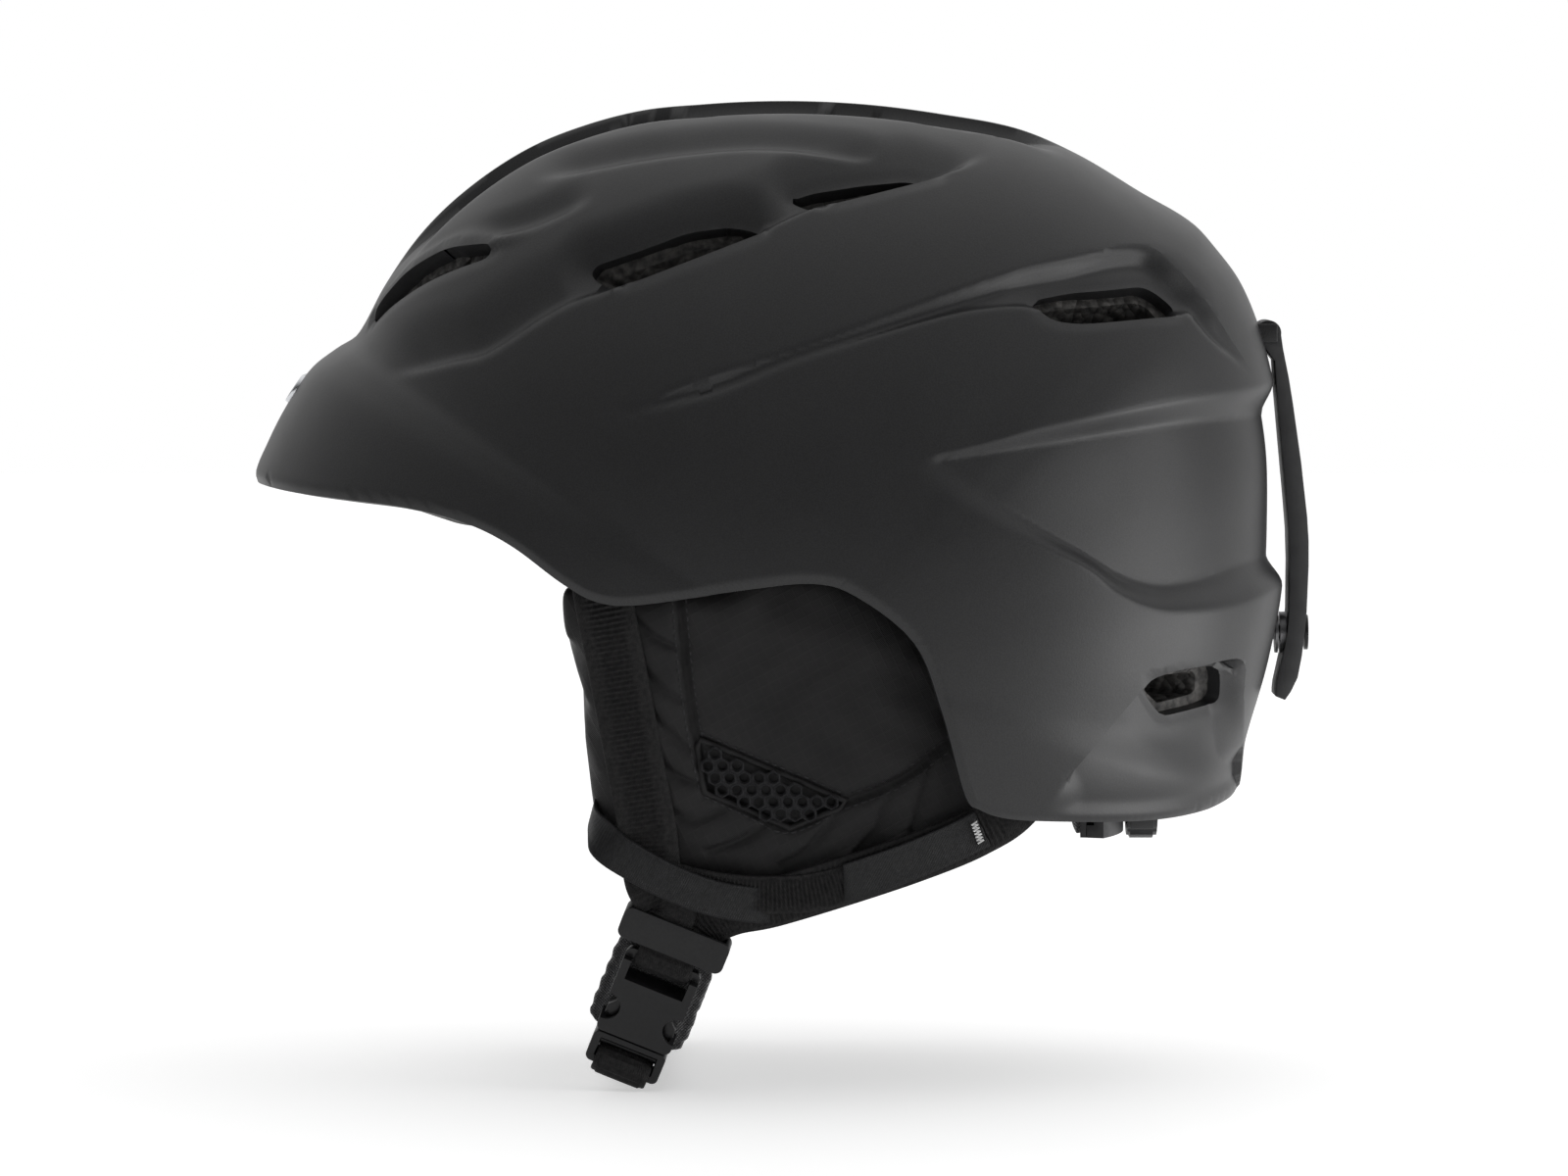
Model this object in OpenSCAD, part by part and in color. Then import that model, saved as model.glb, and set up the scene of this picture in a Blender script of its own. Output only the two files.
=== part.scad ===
// Ski helmet with ear pads, chin strap, goggle strap retainer, dial fit system and sliding vent control.
// Millimetres. +Z is up, the helmet faces -Y, and +X is the wearer's left.
// The origin is the centre of the head on its reference plane, at the brow and the top of the ears.

/* [Shell] */
// Half of the shell's width at the ears
half_width = 109; // [107:0.5:110]
// Wall of the hard shell
shell_wall = 2.2; // [2:0.1:2.4]
// How square the shell's cross-section is, where 2 is an ellipse
squareness = 2.25; // [2.2:0.05:2.4]
// Depth of the two channels beside the crown rib
channel_depth = 4; // [3:0.5:4]
// Depth of the pressed panel at the back
panel_depth = 5; // [4:0.5:5]
// Steps round the shell, seen from the side
shell_steps = 72; // [60:4:84]

/* [Head] */
// Half of the liner cavity's width
cavity_x = 84; // [83.5:0.5:84.5]
// Half of the liner cavity's length
cavity_y = 105.5; // [105:0.5:106]
// Height of the liner cavity above the reference plane
cavity_z = 110.5; // [110:0.5:111]
// Thickness of the comfort pads
pad_wall = 6; // [4:0.5:6.5]

/* [Ear pads] */
// Distance from the middle of the helmet to the ear pad's outer face, at the reference plane
ear_x = 96; // [95.5:0.5:96.5]
// How far the ear pads lean inwards, in degrees
ear_lean = 12.5; // [12:0.5:13]
// Thickness of the ear pads
ear_wall = 17; // [14:1:17]

/* [Chin strap] */
// Width of the webbing
strap_width = 16; // [15:0.5:16]
// Thickness of the webbing
strap_wall = 1.4; // [1.2:0.1:1.4]

/* [Vent control] */
// Travel of the vent button along the crown
vent_travel = 22; // [20:1:22]

/* [Fit system] */
// Height of the dial's axis
dial_z = -55; // [-56:0.5:-54]
// Radius of the dial's grip
dial_radius = 16.5; // [15:0.5:17]

/* [Hidden] */
$fn = 48;
gap = 0.4;           // between neighbouring pieces
core_z = -15;        // height of the axis that the shell's polar outline is drawn about
big = 400;
buckle_tilt = 21.9;  // how far the buckle tilts forwards, in degrees
buckle_lean = 19.3;  // and how far it leans inwards
band_radius = 76;    // of the two fit bands
pinion_teeth = 10;   // on the dial's pinion

// ---- Curves ----

// The shell over the crown, seen from the side as [y, z], from the nape to the brim's tip.
crown_line = [
    [121.8, -59], [124.9, -41.7], [131.3, -19], [134.6, -2], [135.8, 20], [135.2, 42], [132.7, 57.4],
    [127.4, 77], [122.4, 88.2], [116.2, 96.6], [109.2, 104.2], [93.8, 113.4], [76.4, 123.8],
    [60.2, 130.8], [37.8, 135.2], [15.4, 138], [-7, 138.9], [-29.4, 138], [-46.2, 136.4],
    [-63, 132.2], [-79.8, 125.4], [-99.4, 112], [-110.6, 100.8], [-120.4, 86.8], [-128.2, 72.8],
    [-134.4, 68.6], [-141.5, 63], [-149, 51.8], [-154, 42], [-157.6, 32.8]
];
// The rest of the closed outline, below the head, as [degrees, radius].
under_line = [[176, 158], [192, 140], [215, 128], [250, 122], [290, 120], [320, 122]];

// The shell's lower edge, seen from the side as [y, z], from the brim round the ear to the nape.
edge_line = [
    [-185, 34], [-157.6, 31], [-145, 29.5], [-127.8, 28.2], [-110.9, 26.4], [-94.6, 22.6],
    [-81.7, 16.5], [-67.5, 6.3], [-57.8, 1.4], [-46.3, 0.9], [-18.8, 4.9], [0.7, 6.8],
    [12.8, 3.2], [28.5, -9.4], [36, -27.7], [42.7, -51.7], [46.8, -56], [54.4, -58.8],
    [68.6, -60.2], [94.3, -61.5], [110.7, -60.6], [121.2, -58.3], [150, -52]
];

function hermite(t, a, b, ta, tb) =
    (2*t*t*t - 3*t*t + 1)*a + (t*t*t - 2*t*t + t)*ta + (3*t*t - 2*t*t*t)*b + (t*t*t - t*t)*tb;
function smooth(t) = let (c = min(1, max(0, t))) c*c*(3 - 2*c);
function unit(v) = v/norm(v);
function polar(p) = [atan2(p[1] - core_z, p[0]), norm([p[0], p[1] - core_z])];

// Catmull-Rom curve through points, with steps points on each span.
function curve(p, steps = 4) = let (n = len(p)) [
    for (i = [0 : n - 2], s = [0 : steps - 1])
        let (a = p[max(0, i - 1)], b = p[i], c = p[i + 1], d = p[min(n - 1, i + 2)])
            hermite(s/steps, b, c, (c - a)/2, (d - b)/2),
    p[n - 1]
];

knots = concat([for (p = crown_line) polar(p)], under_line);
knot_count = len(knots);
function knot(i) =
    let (turn = floor(i/knot_count), k = knots[i - turn*knot_count]) [k[0] + 360*turn, k[1]];
function knot_slope(i) = (knot(i + 1)[1] - knot(i - 1)[1])/(knot(i + 1)[0] - knot(i - 1)[0]);
function knot_before(a, i = 0) = knot(i + 1)[0] > a ? i : knot_before(a, i + 1);
// Radius of the closed side outline at angle a, where 0 is the back and 90 the crown.
function outline_radius(a) =
    let (w = a < knots[0][0] ? a + 360 : a, i = knot_before(w), k = knot(i), l = knot(i + 1), d = l[0] - k[0])
    hermite((w - k[0])/d, k[1], l[1], knot_slope(i)*d, knot_slope(i + 1)*d);

// Pressed relief of the shell at x across the helmet and angle a round it.
function channel(x, a) =
    channel_depth*smooth((abs(x) - 8.5)/2.5)*(1 - smooth((abs(x) - 20)/3))
    *smooth((a - 66)/6)*(1 - smooth((a - 128)/12));
function panel(x, a) =
    panel_depth*smooth((a - 4)/4)*(1 - smooth((a - 25)/4))*(1 - smooth((abs(x) - 70)/20));

function plain_radius(a, g, off) =
    let (r = outline_radius(a) - off, w = half_width - off)
    pow(pow(abs(cos(g))/r, squareness) + pow(abs(sin(g))/w, squareness), -1/squareness);
function on_shell(a, g, off) =
    let (plain = plain_radius(a, g, off), x = plain*sin(g), r = plain - channel(x, a) - panel(x, a))
    [r*sin(g), r*cos(g)*cos(a), r*cos(g)*sin(a) + core_z];

// Angles across the shell: close together at the crown channels, and wider at the sides.
half_across = [3.2, 4.2, 7.6, 8.8, 14, 20, 27, 34, 42, 50, 58, 66, 74, 82];
half_count = len(half_across);
angles_across = concat([for (i = [half_count - 1 : -1 : 0]) -half_across[i]], [0], half_across);

// The closed form of the shell, off millimetres inside its outer face.
module shell_form(off, steps) {
    m = len(angles_across);
    points = concat(
        [for (i = [0 : steps - 1], g = angles_across) on_shell(360*i/steps - 30, g, off)],
        [[off - half_width, 0, core_z], [half_width - off, 0, core_z]]
    );
    faces = concat(
        [for (i = [0 : steps - 1], j = [0 : m - 2])
            let (k = (i + 1) % steps) [i*m + j, i*m + j + 1, k*m + j + 1, k*m + j]],
        [for (i = [0 : steps - 1]) [steps*m, i*m, ((i + 1) % steps)*m]],
        [for (i = [0 : steps - 1]) [steps*m + 1, ((i + 1) % steps)*m + m - 1, i*m + m - 1]]
    );
    polyhedron(points, faces, convexity = 10);
}

// Extrudes a side view, drawn as [y, z], across the helmet from x0 to x1.
module across_x(x0, x1) {
    translate([x0, 0, 0]) rotate([90, 0, 90]) linear_extrude(x1 - x0) children();
}
module mirrored(side) {
    mirror([side > 0 ? 0 : 1, 0, 0]) children();
}
// A rectangle with round corners, centred on the origin.
module rounded(w, h, r) {
    square([w, h - 2*r], center = true);
    square([w - 2*r, h], center = true);
    for (x = [-1, 1], y = [-1, 1]) translate([x*(w/2 - r), y*(h/2 - r)]) circle(r);
}
module above_edge(inset = 0) {
    offset(delta = -inset) polygon(concat(curve(edge_line), [[250, 250], [-250, 250]]));
}

// ---- Vents ----

// Side vents as rows of circles [y, z, r], cut along X from vent_from outwards.
side_vents = [
    [[-53.1, 92.3, 4.4], [-30, 98.6, 4.2], [-14.6, 101.3, 2.4]],
    [[1.2, 112.2, 3], [14.8, 114.6, 3.2], [32.5, 116, 1.8]],
    [[69.4, 84.4, 2], [75.5, 81.6, 3.8], [95.3, 83.1, 4.4], [100.7, 79.8, 2.4]],
    [[98, -24.4, 3.4], [113, -23.8, 3], [103.4, -29.3, 3.4], [112.4, -28.7, 3.4]]
];
vent_from = [26, 26, 22, 40];
// Brow vents as circles [x, z, r], cut along Y.
brow_vent = [[30, 79, 3], [40, 88.5, 4], [54, 95.5, 2.2]];
// Crown vents as [y, y], one at the back of each half of the channels.
crown_vents = [[-56, -36], [2, 22]];
crown_vent_x = 15.5;
crown_vent_r = 4;

module side_vent(i, side) {
    hull() for (c = side_vents[i])
        translate([side*vent_from[i], c[0], c[1]]) rotate([0, 90*side, 0])
            cylinder(r = c[2], h = 110, $fn = 20);
}
module crown_vent(range, side) {
    hull() for (y = [range[0] + crown_vent_r, range[1] - crown_vent_r])
        translate([side*crown_vent_x, y, 80]) cylinder(r = crown_vent_r, h = 70, $fn = 20);
}
module brow_vents(side) {
    hull() for (c = brow_vent)
        translate([side*c[0], -60, c[1]]) rotate([90, 0, 0]) cylinder(r = c[2], h = 110, $fn = 20);
}
module all_vents() {
    for (side = [-1, 1]) {
        for (i = [0 : len(side_vents) - 1]) side_vent(i, side);
        for (range = crown_vents) crown_vent(range, side);
        brow_vents(side);
    }
}

// ---- Vent control, turning about an axis along X far below the crown ----

vent_axis = [0, 0, -80];
crown_radius = 218.9;
shutter_outer = 210;
shutter_wall = 1.2;
shutter_half = 20.5;
button_y = -11;
button_length = 14;
button_half = 4.5;
cover_half = 6.5;

// Sweeps a section drawn as [radius, x] about the vent axis, from y0 to y1 along the crown.
module crown_sweep(y0, y1) {
    start = acos(y1/crown_radius);
    translate(vent_axis) rotate([90, 0, 90]) rotate([0, 0, start])
        rotate_extrude(angle = acos(y0/crown_radius) - start, $fn = 120) children();
}
module crown_section(r0, r1, half) {
    translate([r0, -half]) square([r1 - r0, 2*half]);
}

// ---- Places shared by several pieces ----

retainer_hinge = [0, 130.6, 73];
retainer_width = 20;
snap_z = -12.6;
snap_y = 133.2;
badge_seat = [0, -145.6, 57];
badge_slope = 33.8;
guide_size = [28, 7, 34];
guide_y = 100;
guide_z = -19;
pin_seats = [[-11, 10], [11, 10], [-11, -14], [11, -14]];

module at_badge() {
    translate(badge_seat) rotate([90 - badge_slope, 0, 0]) children();
}

// ---- Hard shell, foam liner and badge ----

module outer_shell() {
    color([0.03, 0.03, 0.035]) difference() {
        intersection() {
            shell_form(0, shell_steps);
            across_x(-big, big) above_edge();
        }
        shell_form(shell_wall, 54);
        all_vents();
        crown_sweep(button_y - button_length/2 - vent_travel - 0.6, button_y + button_length/2 + 0.6)
            crown_section(200, 240, button_half + gap);
        translate([-12.6, 118, retainer_hinge[2] - 5.5]) cube([25.2, 24, 11]);
        translate([0, 120, snap_z]) rotate([-90, 0, 0]) cylinder(r = 2.4, h = 30);
        at_badge() translate([0, 0, -1.1]) linear_extrude(9) rounded(24.6, 9.6, 4.5);
    }
}

// The room for the head: half an ellipsoid above the reference plane, and straight down below it.
module head_room(grow = 0) {
    scale([cavity_x + grow, cavity_y + grow, cavity_z + grow]) {
        intersection() {
            sphere(1, $fn = 44);
            translate([-2, -2, 0]) cube([4, 4, 2]);
        }
        translate([0, 0, -2]) cylinder(r = 1, h = 2.001, $fn = 44);
    }
}

front_anchor = [90.6, -57, 20];
rear_anchor = [78, 72.5, -31];
rear_anchor_tilt = 30.6;
clip_y = [-36, -8];

module eps_liner() {
    color([0.05, 0.05, 0.05]) difference() {
        intersection() {
            shell_form(shell_wall + gap, 54);
            across_x(-big, big) above_edge(7);
            translate([-big, -140, -big]) cube(2*big);
        }
        head_room();
        all_vents();
        crown_sweep(-86, 54) crown_section(shutter_outer - shutter_wall - 0.8, 240, shutter_half + 1);
        crown_sweep(button_y - 56, button_y + 34) crown_section(200, 240, cover_half + 1);
        translate([-15, 99, -44]) cube([30, 8.4, 70]);
        for (p = pin_seats) translate([p[0], 100, p[1]]) rotate([-90, 0, 0]) cylinder(r = 2.3, h = 18, $fn = 20);
        translate([-14, 112, retainer_hinge[2] - 8]) cube([28, 30, 16]);
        translate([0, 118, snap_z]) rotate([-90, 0, 0]) cylinder(r = 5, h = 30, $fn = 24);
        for (side = [-1, 1]) mirrored(side) {
            translate([front_anchor[0] - 3.4, front_anchor[1] - 9.4, -6]) cube([14, 18.8, 36]);
            translate([front_anchor[0] - 3.4, front_anchor[1] - 13.4, 11]) cube([8.6, 26.8, 19]);
            hull() {
                translate([rear_anchor[0] - 4.4, 45, -70]) cube([11.6, 30, 1]);
                translate([rear_anchor[0] - 4.4, 56, -20]) cube([8.8, 31, 1]);
            }
            for (y = clip_y) translate([85.4, y - 7.4, 0]) cube([4.2, 14.8, 30]);
        }
    }
}

module front_badge() {
    color([0.75, 0.76, 0.78]) at_badge() translate([0, 0, -0.9]) linear_extrude(1.8) rounded(24, 9, 4.2);
}

// ---- Comfort pads ----

// A patch of an ellipsoid shell, between depths t0 and t1 inside the head room.
// a runs round the X axis from the back over the crown, and b from the middle to the side.
module cap_patch(a, b, t0, t1, na, nb) {
    function at(u, v, t) = let (p = a[0] + (a[1] - a[0])*u/na, q = b[0] + (b[1] - b[0])*v/nb) [
        (cavity_x - t)*sin(q),
        (cavity_y - t)*cos(q)*cos(p),
        (cavity_z - t)*cos(q)*sin(p)
    ];
    grid_solid([for (t = [t0, t1]) [for (u = [0 : na]) [for (v = [0 : nb]) at(u, v, t)]]]);
}
// The same on a ring round the head: a is the bearing from the back, and z the height.
module ring_patch(a, z, t0, t1, na, nz) {
    function at(u, v, t) = let (p = a[1] + (a[0] - a[1])*u/na, h = z[0] + (z[1] - z[0])*v/nz,
        s = sqrt(1 - pow(h/(cavity_z - t), 2))) [
        (cavity_x - t)*s*sin(p),
        (cavity_y - t)*s*cos(p),
        h
    ];
    grid_solid([for (t = [t0, t1]) [for (u = [0 : na]) [for (v = [0 : nz]) at(u, v, t)]]]);
}
// Closes two matching grids of points, the outer one first, into a solid.
module grid_solid(layers) {
    rows = len(layers[0]);
    cols = len(layers[0][0]);
    function id(k, u, v) = (k*rows + u)*cols + v;
    points = [for (layer = layers, row = layer, p = row) p];
    faces = concat(
        [for (u = [0 : rows - 2], v = [0 : cols - 2], f = [
            [id(0, u, v), id(0, u, v + 1), id(0, u + 1, v + 1)],
            [id(0, u, v), id(0, u + 1, v + 1), id(0, u + 1, v)],
            [id(1, u, v), id(1, u + 1, v + 1), id(1, u, v + 1)],
            [id(1, u, v), id(1, u + 1, v), id(1, u + 1, v + 1)]
        ]) f],
        [for (u = [0 : rows - 2], e = [0, cols - 1])
            let (q = [id(0, u, e), id(0, u + 1, e), id(1, u + 1, e), id(1, u, e)])
            for (f = [[q[0], q[1], q[2]], [q[0], q[2], q[3]]]) e == 0 ? f : [f[2], f[1], f[0]]],
        [for (v = [0 : cols - 2], e = [0, rows - 1])
            let (q = [id(0, e, v), id(1, e, v), id(1, e, v + 1), id(0, e, v + 1)])
            for (f = [[q[0], q[1], q[2]], [q[0], q[2], q[3]]]) e == 0 ? f : [f[2], f[1], f[0]]]
    );
    polyhedron(points, faces, convexity = 4);
}

pad_seat = 1.7;      // gap behind the pads, which the hook patches fill
module brow_pad() {
    color([0.08, 0.08, 0.09]) ring_patch([122, 238], [30, 56], pad_seat, pad_seat + pad_wall, 14, 3);
}
module rear_pad() {
    color([0.08, 0.08, 0.09]) for (side = [0, 1]) mirror([side, 0, 0])
        ring_patch([22, 58], [14, 44], pad_seat, pad_seat + pad_wall, 5, 3);
}
module crown_pad() {
    color([0.08, 0.08, 0.09]) cap_patch([40, 142], [-15, 15], pad_seat, pad_seat + pad_wall, 12, 4);
}
module side_pads() {
    color([0.08, 0.08, 0.09]) for (side = [0, 1]) mirror([side, 0, 0])
        cap_patch([48, 130], [22, 44], pad_seat, pad_seat + pad_wall, 9, 3);
}
module hook_patches() {
    color([0.12, 0.12, 0.12]) {
        for (a = [128, 174, 220]) ring_patch([a, a + 12], [38, 50], 0.5, pad_seat - 0.6, 2, 1);
        for (a = [50, 84, 118]) cap_patch([a, a + 8], [-6, 6], 0.5, pad_seat - 0.6, 1, 2);
        for (side = [0, 1]) mirror([side, 0, 0]) {
            for (a = [56, 110]) cap_patch([a, a + 9], [28, 37], 0.5, pad_seat - 0.6, 1, 1);
            ring_patch([36, 44], [22, 34], 0.5, pad_seat - 0.6, 1, 1);
        }
    }
}

// ---- Ear pads, in a side view plane that leans in with them ----

// Draws in the plane of the left ear pad's outer face, as [y, z], from d0 to d1 outside it.
module on_ear(d0, d1) {
    translate([ear_x, 0, 0]) rotate([0, ear_lean, 0]) across_x(d0, d1) children();
}
ear_outline = [
    [-68, 4], [-66.6, -10], [-62.9, -27.5], [-60.7, -46.3], [-55.9, -66], [-48, -74], [-36.5, -76],
    [-17.7, -80], [11.8, -76], [33, -66], [41.5, -59], [43, -50], [39, -26.5], [31, -8], [14, 5],
    [0.7, 9], [-18.8, 7.4], [-46, 3.4], [-57, 3.6]
];
mesh_outline = [[-30.3, -38], [-28.5, -50.8], [-5.4, -61], [10.5, -55.6]];
band_line = [[-57.5, -66], [-47.3, -73], [-33.9, -79.5], [-17.7, -83.5], [-1.6, -84], [15.8, -78.5], [26, -74]];

module ear_body(side) {
    color([0.04, 0.04, 0.045]) mirrored(side) difference() {
        union() {
            on_ear(-ear_wall + 3, -3) polygon(curve(concat(ear_outline, [ear_outline[0]]), 2));
            on_ear(-ear_wall, 0) offset(delta = -3.5) polygon(ear_outline);
        }
        on_ear(-2.4, 1) polygon(mesh_outline);
    }
}
module ear_pad_left() ear_body(1);
module ear_pad_right() ear_body(-1);

module mesh_panel(side) {
    color([0.03, 0.03, 0.03]) mirrored(side) on_ear(-1.6, -0.4) difference() {
        offset(delta = -gap) polygon(mesh_outline);
        for (i = [0 : 6]) translate([-24.5 + 4.4*i, -46 - 1.75*i]) circle(1.3, $fn = 24);
    }
}
module ear_mesh_left() mesh_panel(1);
module ear_mesh_right() mesh_panel(-1);

module ear_lining(side) {
    color([0.1, 0.1, 0.11]) mirrored(side) on_ear(-ear_wall - 2.2, -ear_wall - 0.3)
        offset(delta = -6) polygon(ear_outline);
}
module ear_lining_left() ear_lining(1);
module ear_lining_right() ear_lining(-1);

module ear_clips() {
    color([0.1, 0.1, 0.1]) for (side = [-1, 1], y = clip_y) mirrored(side)
        translate([86, y - 7, 12.8]) {
            cube([3, 14, 5]);
            translate([0, 2, 4.9]) cube([3, 10, 11]);
        }
}

// ---- Webbing ----

// A flat strap along path, with one outward direction for each of its points.
module ribbon(path, out, width, wall) {
    p = curve(path, 3);
    o = curve(out, 3);
    n = len(p);
    function along(i) = unit(p[min(n - 1, i + 1)] - p[max(0, i - 1)]);
    function side_of(i) = unit(cross(o[i], along(i)));
    function out_of(i) = cross(along(i), side_of(i));
    grid_solid([for (k = [1, -1]) [for (i = [0 : n - 1]) [for (s = [-1, 1])
        p[i] + side_of(i)*s*width/2 + out_of(i)*k*wall/2]]]);
}
// A point d outside the left ear pad's outer face, at [y, z] in its leaning plane.
function off_ear(y, z, d) =
    [ear_x + d*cos(ear_lean) + z*sin(ear_lean), y, z*cos(ear_lean) - d*sin(ear_lean)];
ear_out = [cos(ear_lean), 0, -sin(ear_lean)];

// The buckle's own frame: x to the back, y up the strap, z outwards, and the plug's shoulder at y = 0.
buckle_seat = [64.4, -48.9, -121.8];
buckle_up = [sin(buckle_lean), cos(buckle_lean)*sin(buckle_tilt), cos(buckle_lean)*cos(buckle_tilt)];
buckle_back = [0, cos(buckle_tilt), -sin(buckle_tilt)];
buckle_out = cross(buckle_back, buckle_up);
function in_buckle(x, y, z) = buckle_seat + x*buckle_back + y*buckle_up + z*buckle_out;
module at_buckle() {
    translate(buckle_seat) rotate([-buckle_tilt, 0, 0]) rotate([90, 0, 90]) rotate([buckle_lean, 0, 0])
        children();
}

front_path = [
    front_anchor + [-0.2, 0, 4], front_anchor + [0.5, 0, -2], front_anchor + [2.6, 0, -8], [96.4, -57, 6.2],
    off_ear(-56, -6, 1.9), off_ear(-53, -20, 1.7), off_ear(-49.5, -44, 1.7), off_ear(-45.5, -64, 1.7),
    off_ear(-43, -78, 1.8), in_buckle(-5, 41.5, 1), in_buckle(-4.8, 36, 0.9)
];
front_out = [
    [1, 0, 0.1], [1, 0, 0.15], [1, 0, 0.45], [1, 0, 0.35], ear_out, ear_out, ear_out, ear_out, ear_out, buckle_out, buckle_out
];
rear_path = [
    rear_anchor, rear_anchor + [0.4, -4, -6.8], [82, 57.5, -55], off_ear(46, -64, 1.9),
    off_ear(30, -70.5, 3.4), off_ear(10, -77.5, 3.6), off_ear(-10, -84, 3),
    in_buckle(12, 47, 0), in_buckle(6.5, 40.5, -0.9), in_buckle(5, 36.4, -0.9)
];
rear_out = [
    [1, 0, 0], [1, 0, 0], [1, 0, -0.15], ear_out, ear_out, ear_out, ear_out, buckle_out, buckle_out, buckle_out
];

module front_strap(side) {
    color([0.04, 0.04, 0.04]) mirrored(side) ribbon(front_path, front_out, strap_width, strap_wall);
}
module rear_strap(side) {
    color([0.04, 0.04, 0.04]) mirrored(side) ribbon(rear_path, rear_out, strap_width - 2, strap_wall);
}
module front_strap_left() front_strap(1);
module front_strap_right() front_strap(-1);
module rear_strap_left() rear_strap(1);
module rear_strap_right() rear_strap(-1);

module front_strap_anchors() {
    color([0.1, 0.1, 0.1]) for (side = [-1, 1]) mirrored(side)
        translate(front_anchor) rotate([0, 5.7, 0]) difference() {
            translate([-2.4, -12.5, -3.6]) cube([6, 25, 11.6]);
            translate([-1.4, -8.6, -8]) cube([4, 17.2, 14]);
        }
}
module rear_strap_anchors() {
    color([0.1, 0.1, 0.1]) for (side = [-1, 1]) mirrored(side)
        translate(rear_anchor) rotate([-rear_anchor_tilt, 0, 0]) difference() {
            translate([-3, -10, -4.4]) cube([6, 20, 8.4]);
            translate([-1.4, -7.6, -5]) cube([2.8, 15.2, 6.2]);
        }
}

module ear_band(side) {
    color([0.05, 0.05, 0.055]) mirrored(side) ribbon(
        [for (p = band_line) off_ear(p[0], p[1], 5.4)], [for (p = band_line) ear_out], 11, 1.2);
}
module ear_band_left() ear_band(1);
module ear_band_right() ear_band(-1);

// Points [y, z, d] of the label on the rear strap.
label_line = [[47, -62.6, 3.2], [39, -66.6, 4], [31, -70.2, 4.8]];
module strap_label(side) {
    color([0.06, 0.06, 0.07]) mirrored(side) ribbon(
        [for (p = label_line) off_ear(p[0], p[1], p[2])], [for (p = label_line) ear_out], 10, 0.6);
}
module strap_label_left() strap_label(1);
module strap_label_right() strap_label(-1);

// ---- Strap dividers and buckle ----

divider_size = [31, 9.6, 6.4];
divider_y = 33.4;
module divider(side) {
    color([0.03, 0.03, 0.03]) mirrored(side) at_buckle() translate([0, divider_y, 0]) difference() {
        translate([0, 0, -divider_size[2]/2]) linear_extrude(divider_size[2])
            rounded(divider_size[0], divider_size[1], 2.4);
        cube([divider_size[0] - 3.4, 20, 4.2], center = true);
    }
}
module strap_divider_left() divider(1);
module strap_divider_right() divider(-1);

socket_length = 26;
socket_width = 22;
socket_depth = 8.4;
hole_low = 17.6;     // the strap hole's lower edge
hole_high = 23.4;    // and its upper edge, below the bar
arm_x = 7.2;         // from the buckle's middle to an arm
arm_root = 1.1;      // height of the arms' hinge line
hook_y = 8;          // height of the windows and hooks

module buckle_strap() {
    loop = hole_high + 1.3;
    color([0.04, 0.04, 0.04]) at_buckle() translate([-strap_width/2, 0, 0]) rotate([90, 0, 90])
        linear_extrude(strap_width) {
            difference() {
                translate([loop, 0]) circle(2 + strap_wall);
                translate([loop, 0]) circle(2);
                translate([loop, -5]) square([10, 10]);
            }
            for (z = [-2 - strap_wall, 2]) translate([loop - 0.3, z]) square([1.5, strap_wall]);
            for (s = [-1, 1])
                polygon([
                    [loop + 1, 2*s], [loop + 1, (2 + strap_wall)*s], [28.2, 1.9*s],
                    [32.2, 1.9*s], [32.2, 0.5*s], [27.9, 0.5*s]
                ]);
        }
}
module buckle_socket() {
    color([0.03, 0.03, 0.03]) at_buckle() difference() {
        translate([0, socket_length/2 + 0.2, -socket_depth/2]) linear_extrude(socket_depth)
            rounded(socket_width, socket_length - 0.4, 2);
        translate([-9.6, -1, -2.9]) cube([19.2, 16, 5.8]);
        translate([-8.6, hole_low, -10]) cube([17.2, hole_high - hole_low, 20]);
        for (z = [-10, 1.3]) translate([-12, hole_high, z]) cube([24, 10, 8.7]);
        for (s = [-1, 1]) translate([s*(socket_width/2 - 0.5), hook_y, -10]) cylinder(r = 4, h = 20);
    }
}
module buckle_plug() {
    color([0.03, 0.03, 0.03]) at_buckle() {
        difference() {
            translate([0, -5, -3.6]) linear_extrude(7.2) rounded(21.4, 9.6, 1.8);
            translate([-8.4, -7.6, -10]) cube([16.8, 5.6, 20]);
        }
        translate([-8.6, -4.9, -1]) cube([17.2, 1.6, 2]);
        translate([-1.6, -1, -2]) cube([3.2, 13, 4]);
    }
}
// One sprung arm of the plug, as a view from outside, on the +x side.
module arm_shape() {
    translate([arm_x - 1.1, arm_root]) square([2.2, 9.6 - arm_root]);
    for (y = [arm_root, 9.6]) translate([arm_x, y]) circle(1.1);
    polygon([[arm_x, 3.8], [arm_x + 2.9, 5], [arm_x + 2.9, 7.4], [arm_x, 10.6]]);
}
module buckle_arm(s) {
    color([0.03, 0.03, 0.03]) at_buckle() mirror([s > 0 ? 0 : 1, 0, 0])
        translate([0, 0, -1.9]) linear_extrude(3.8) arm_shape();
}
module buckle_arm_front() buckle_arm(-1);
module buckle_arm_rear() buckle_arm(1);

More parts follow.
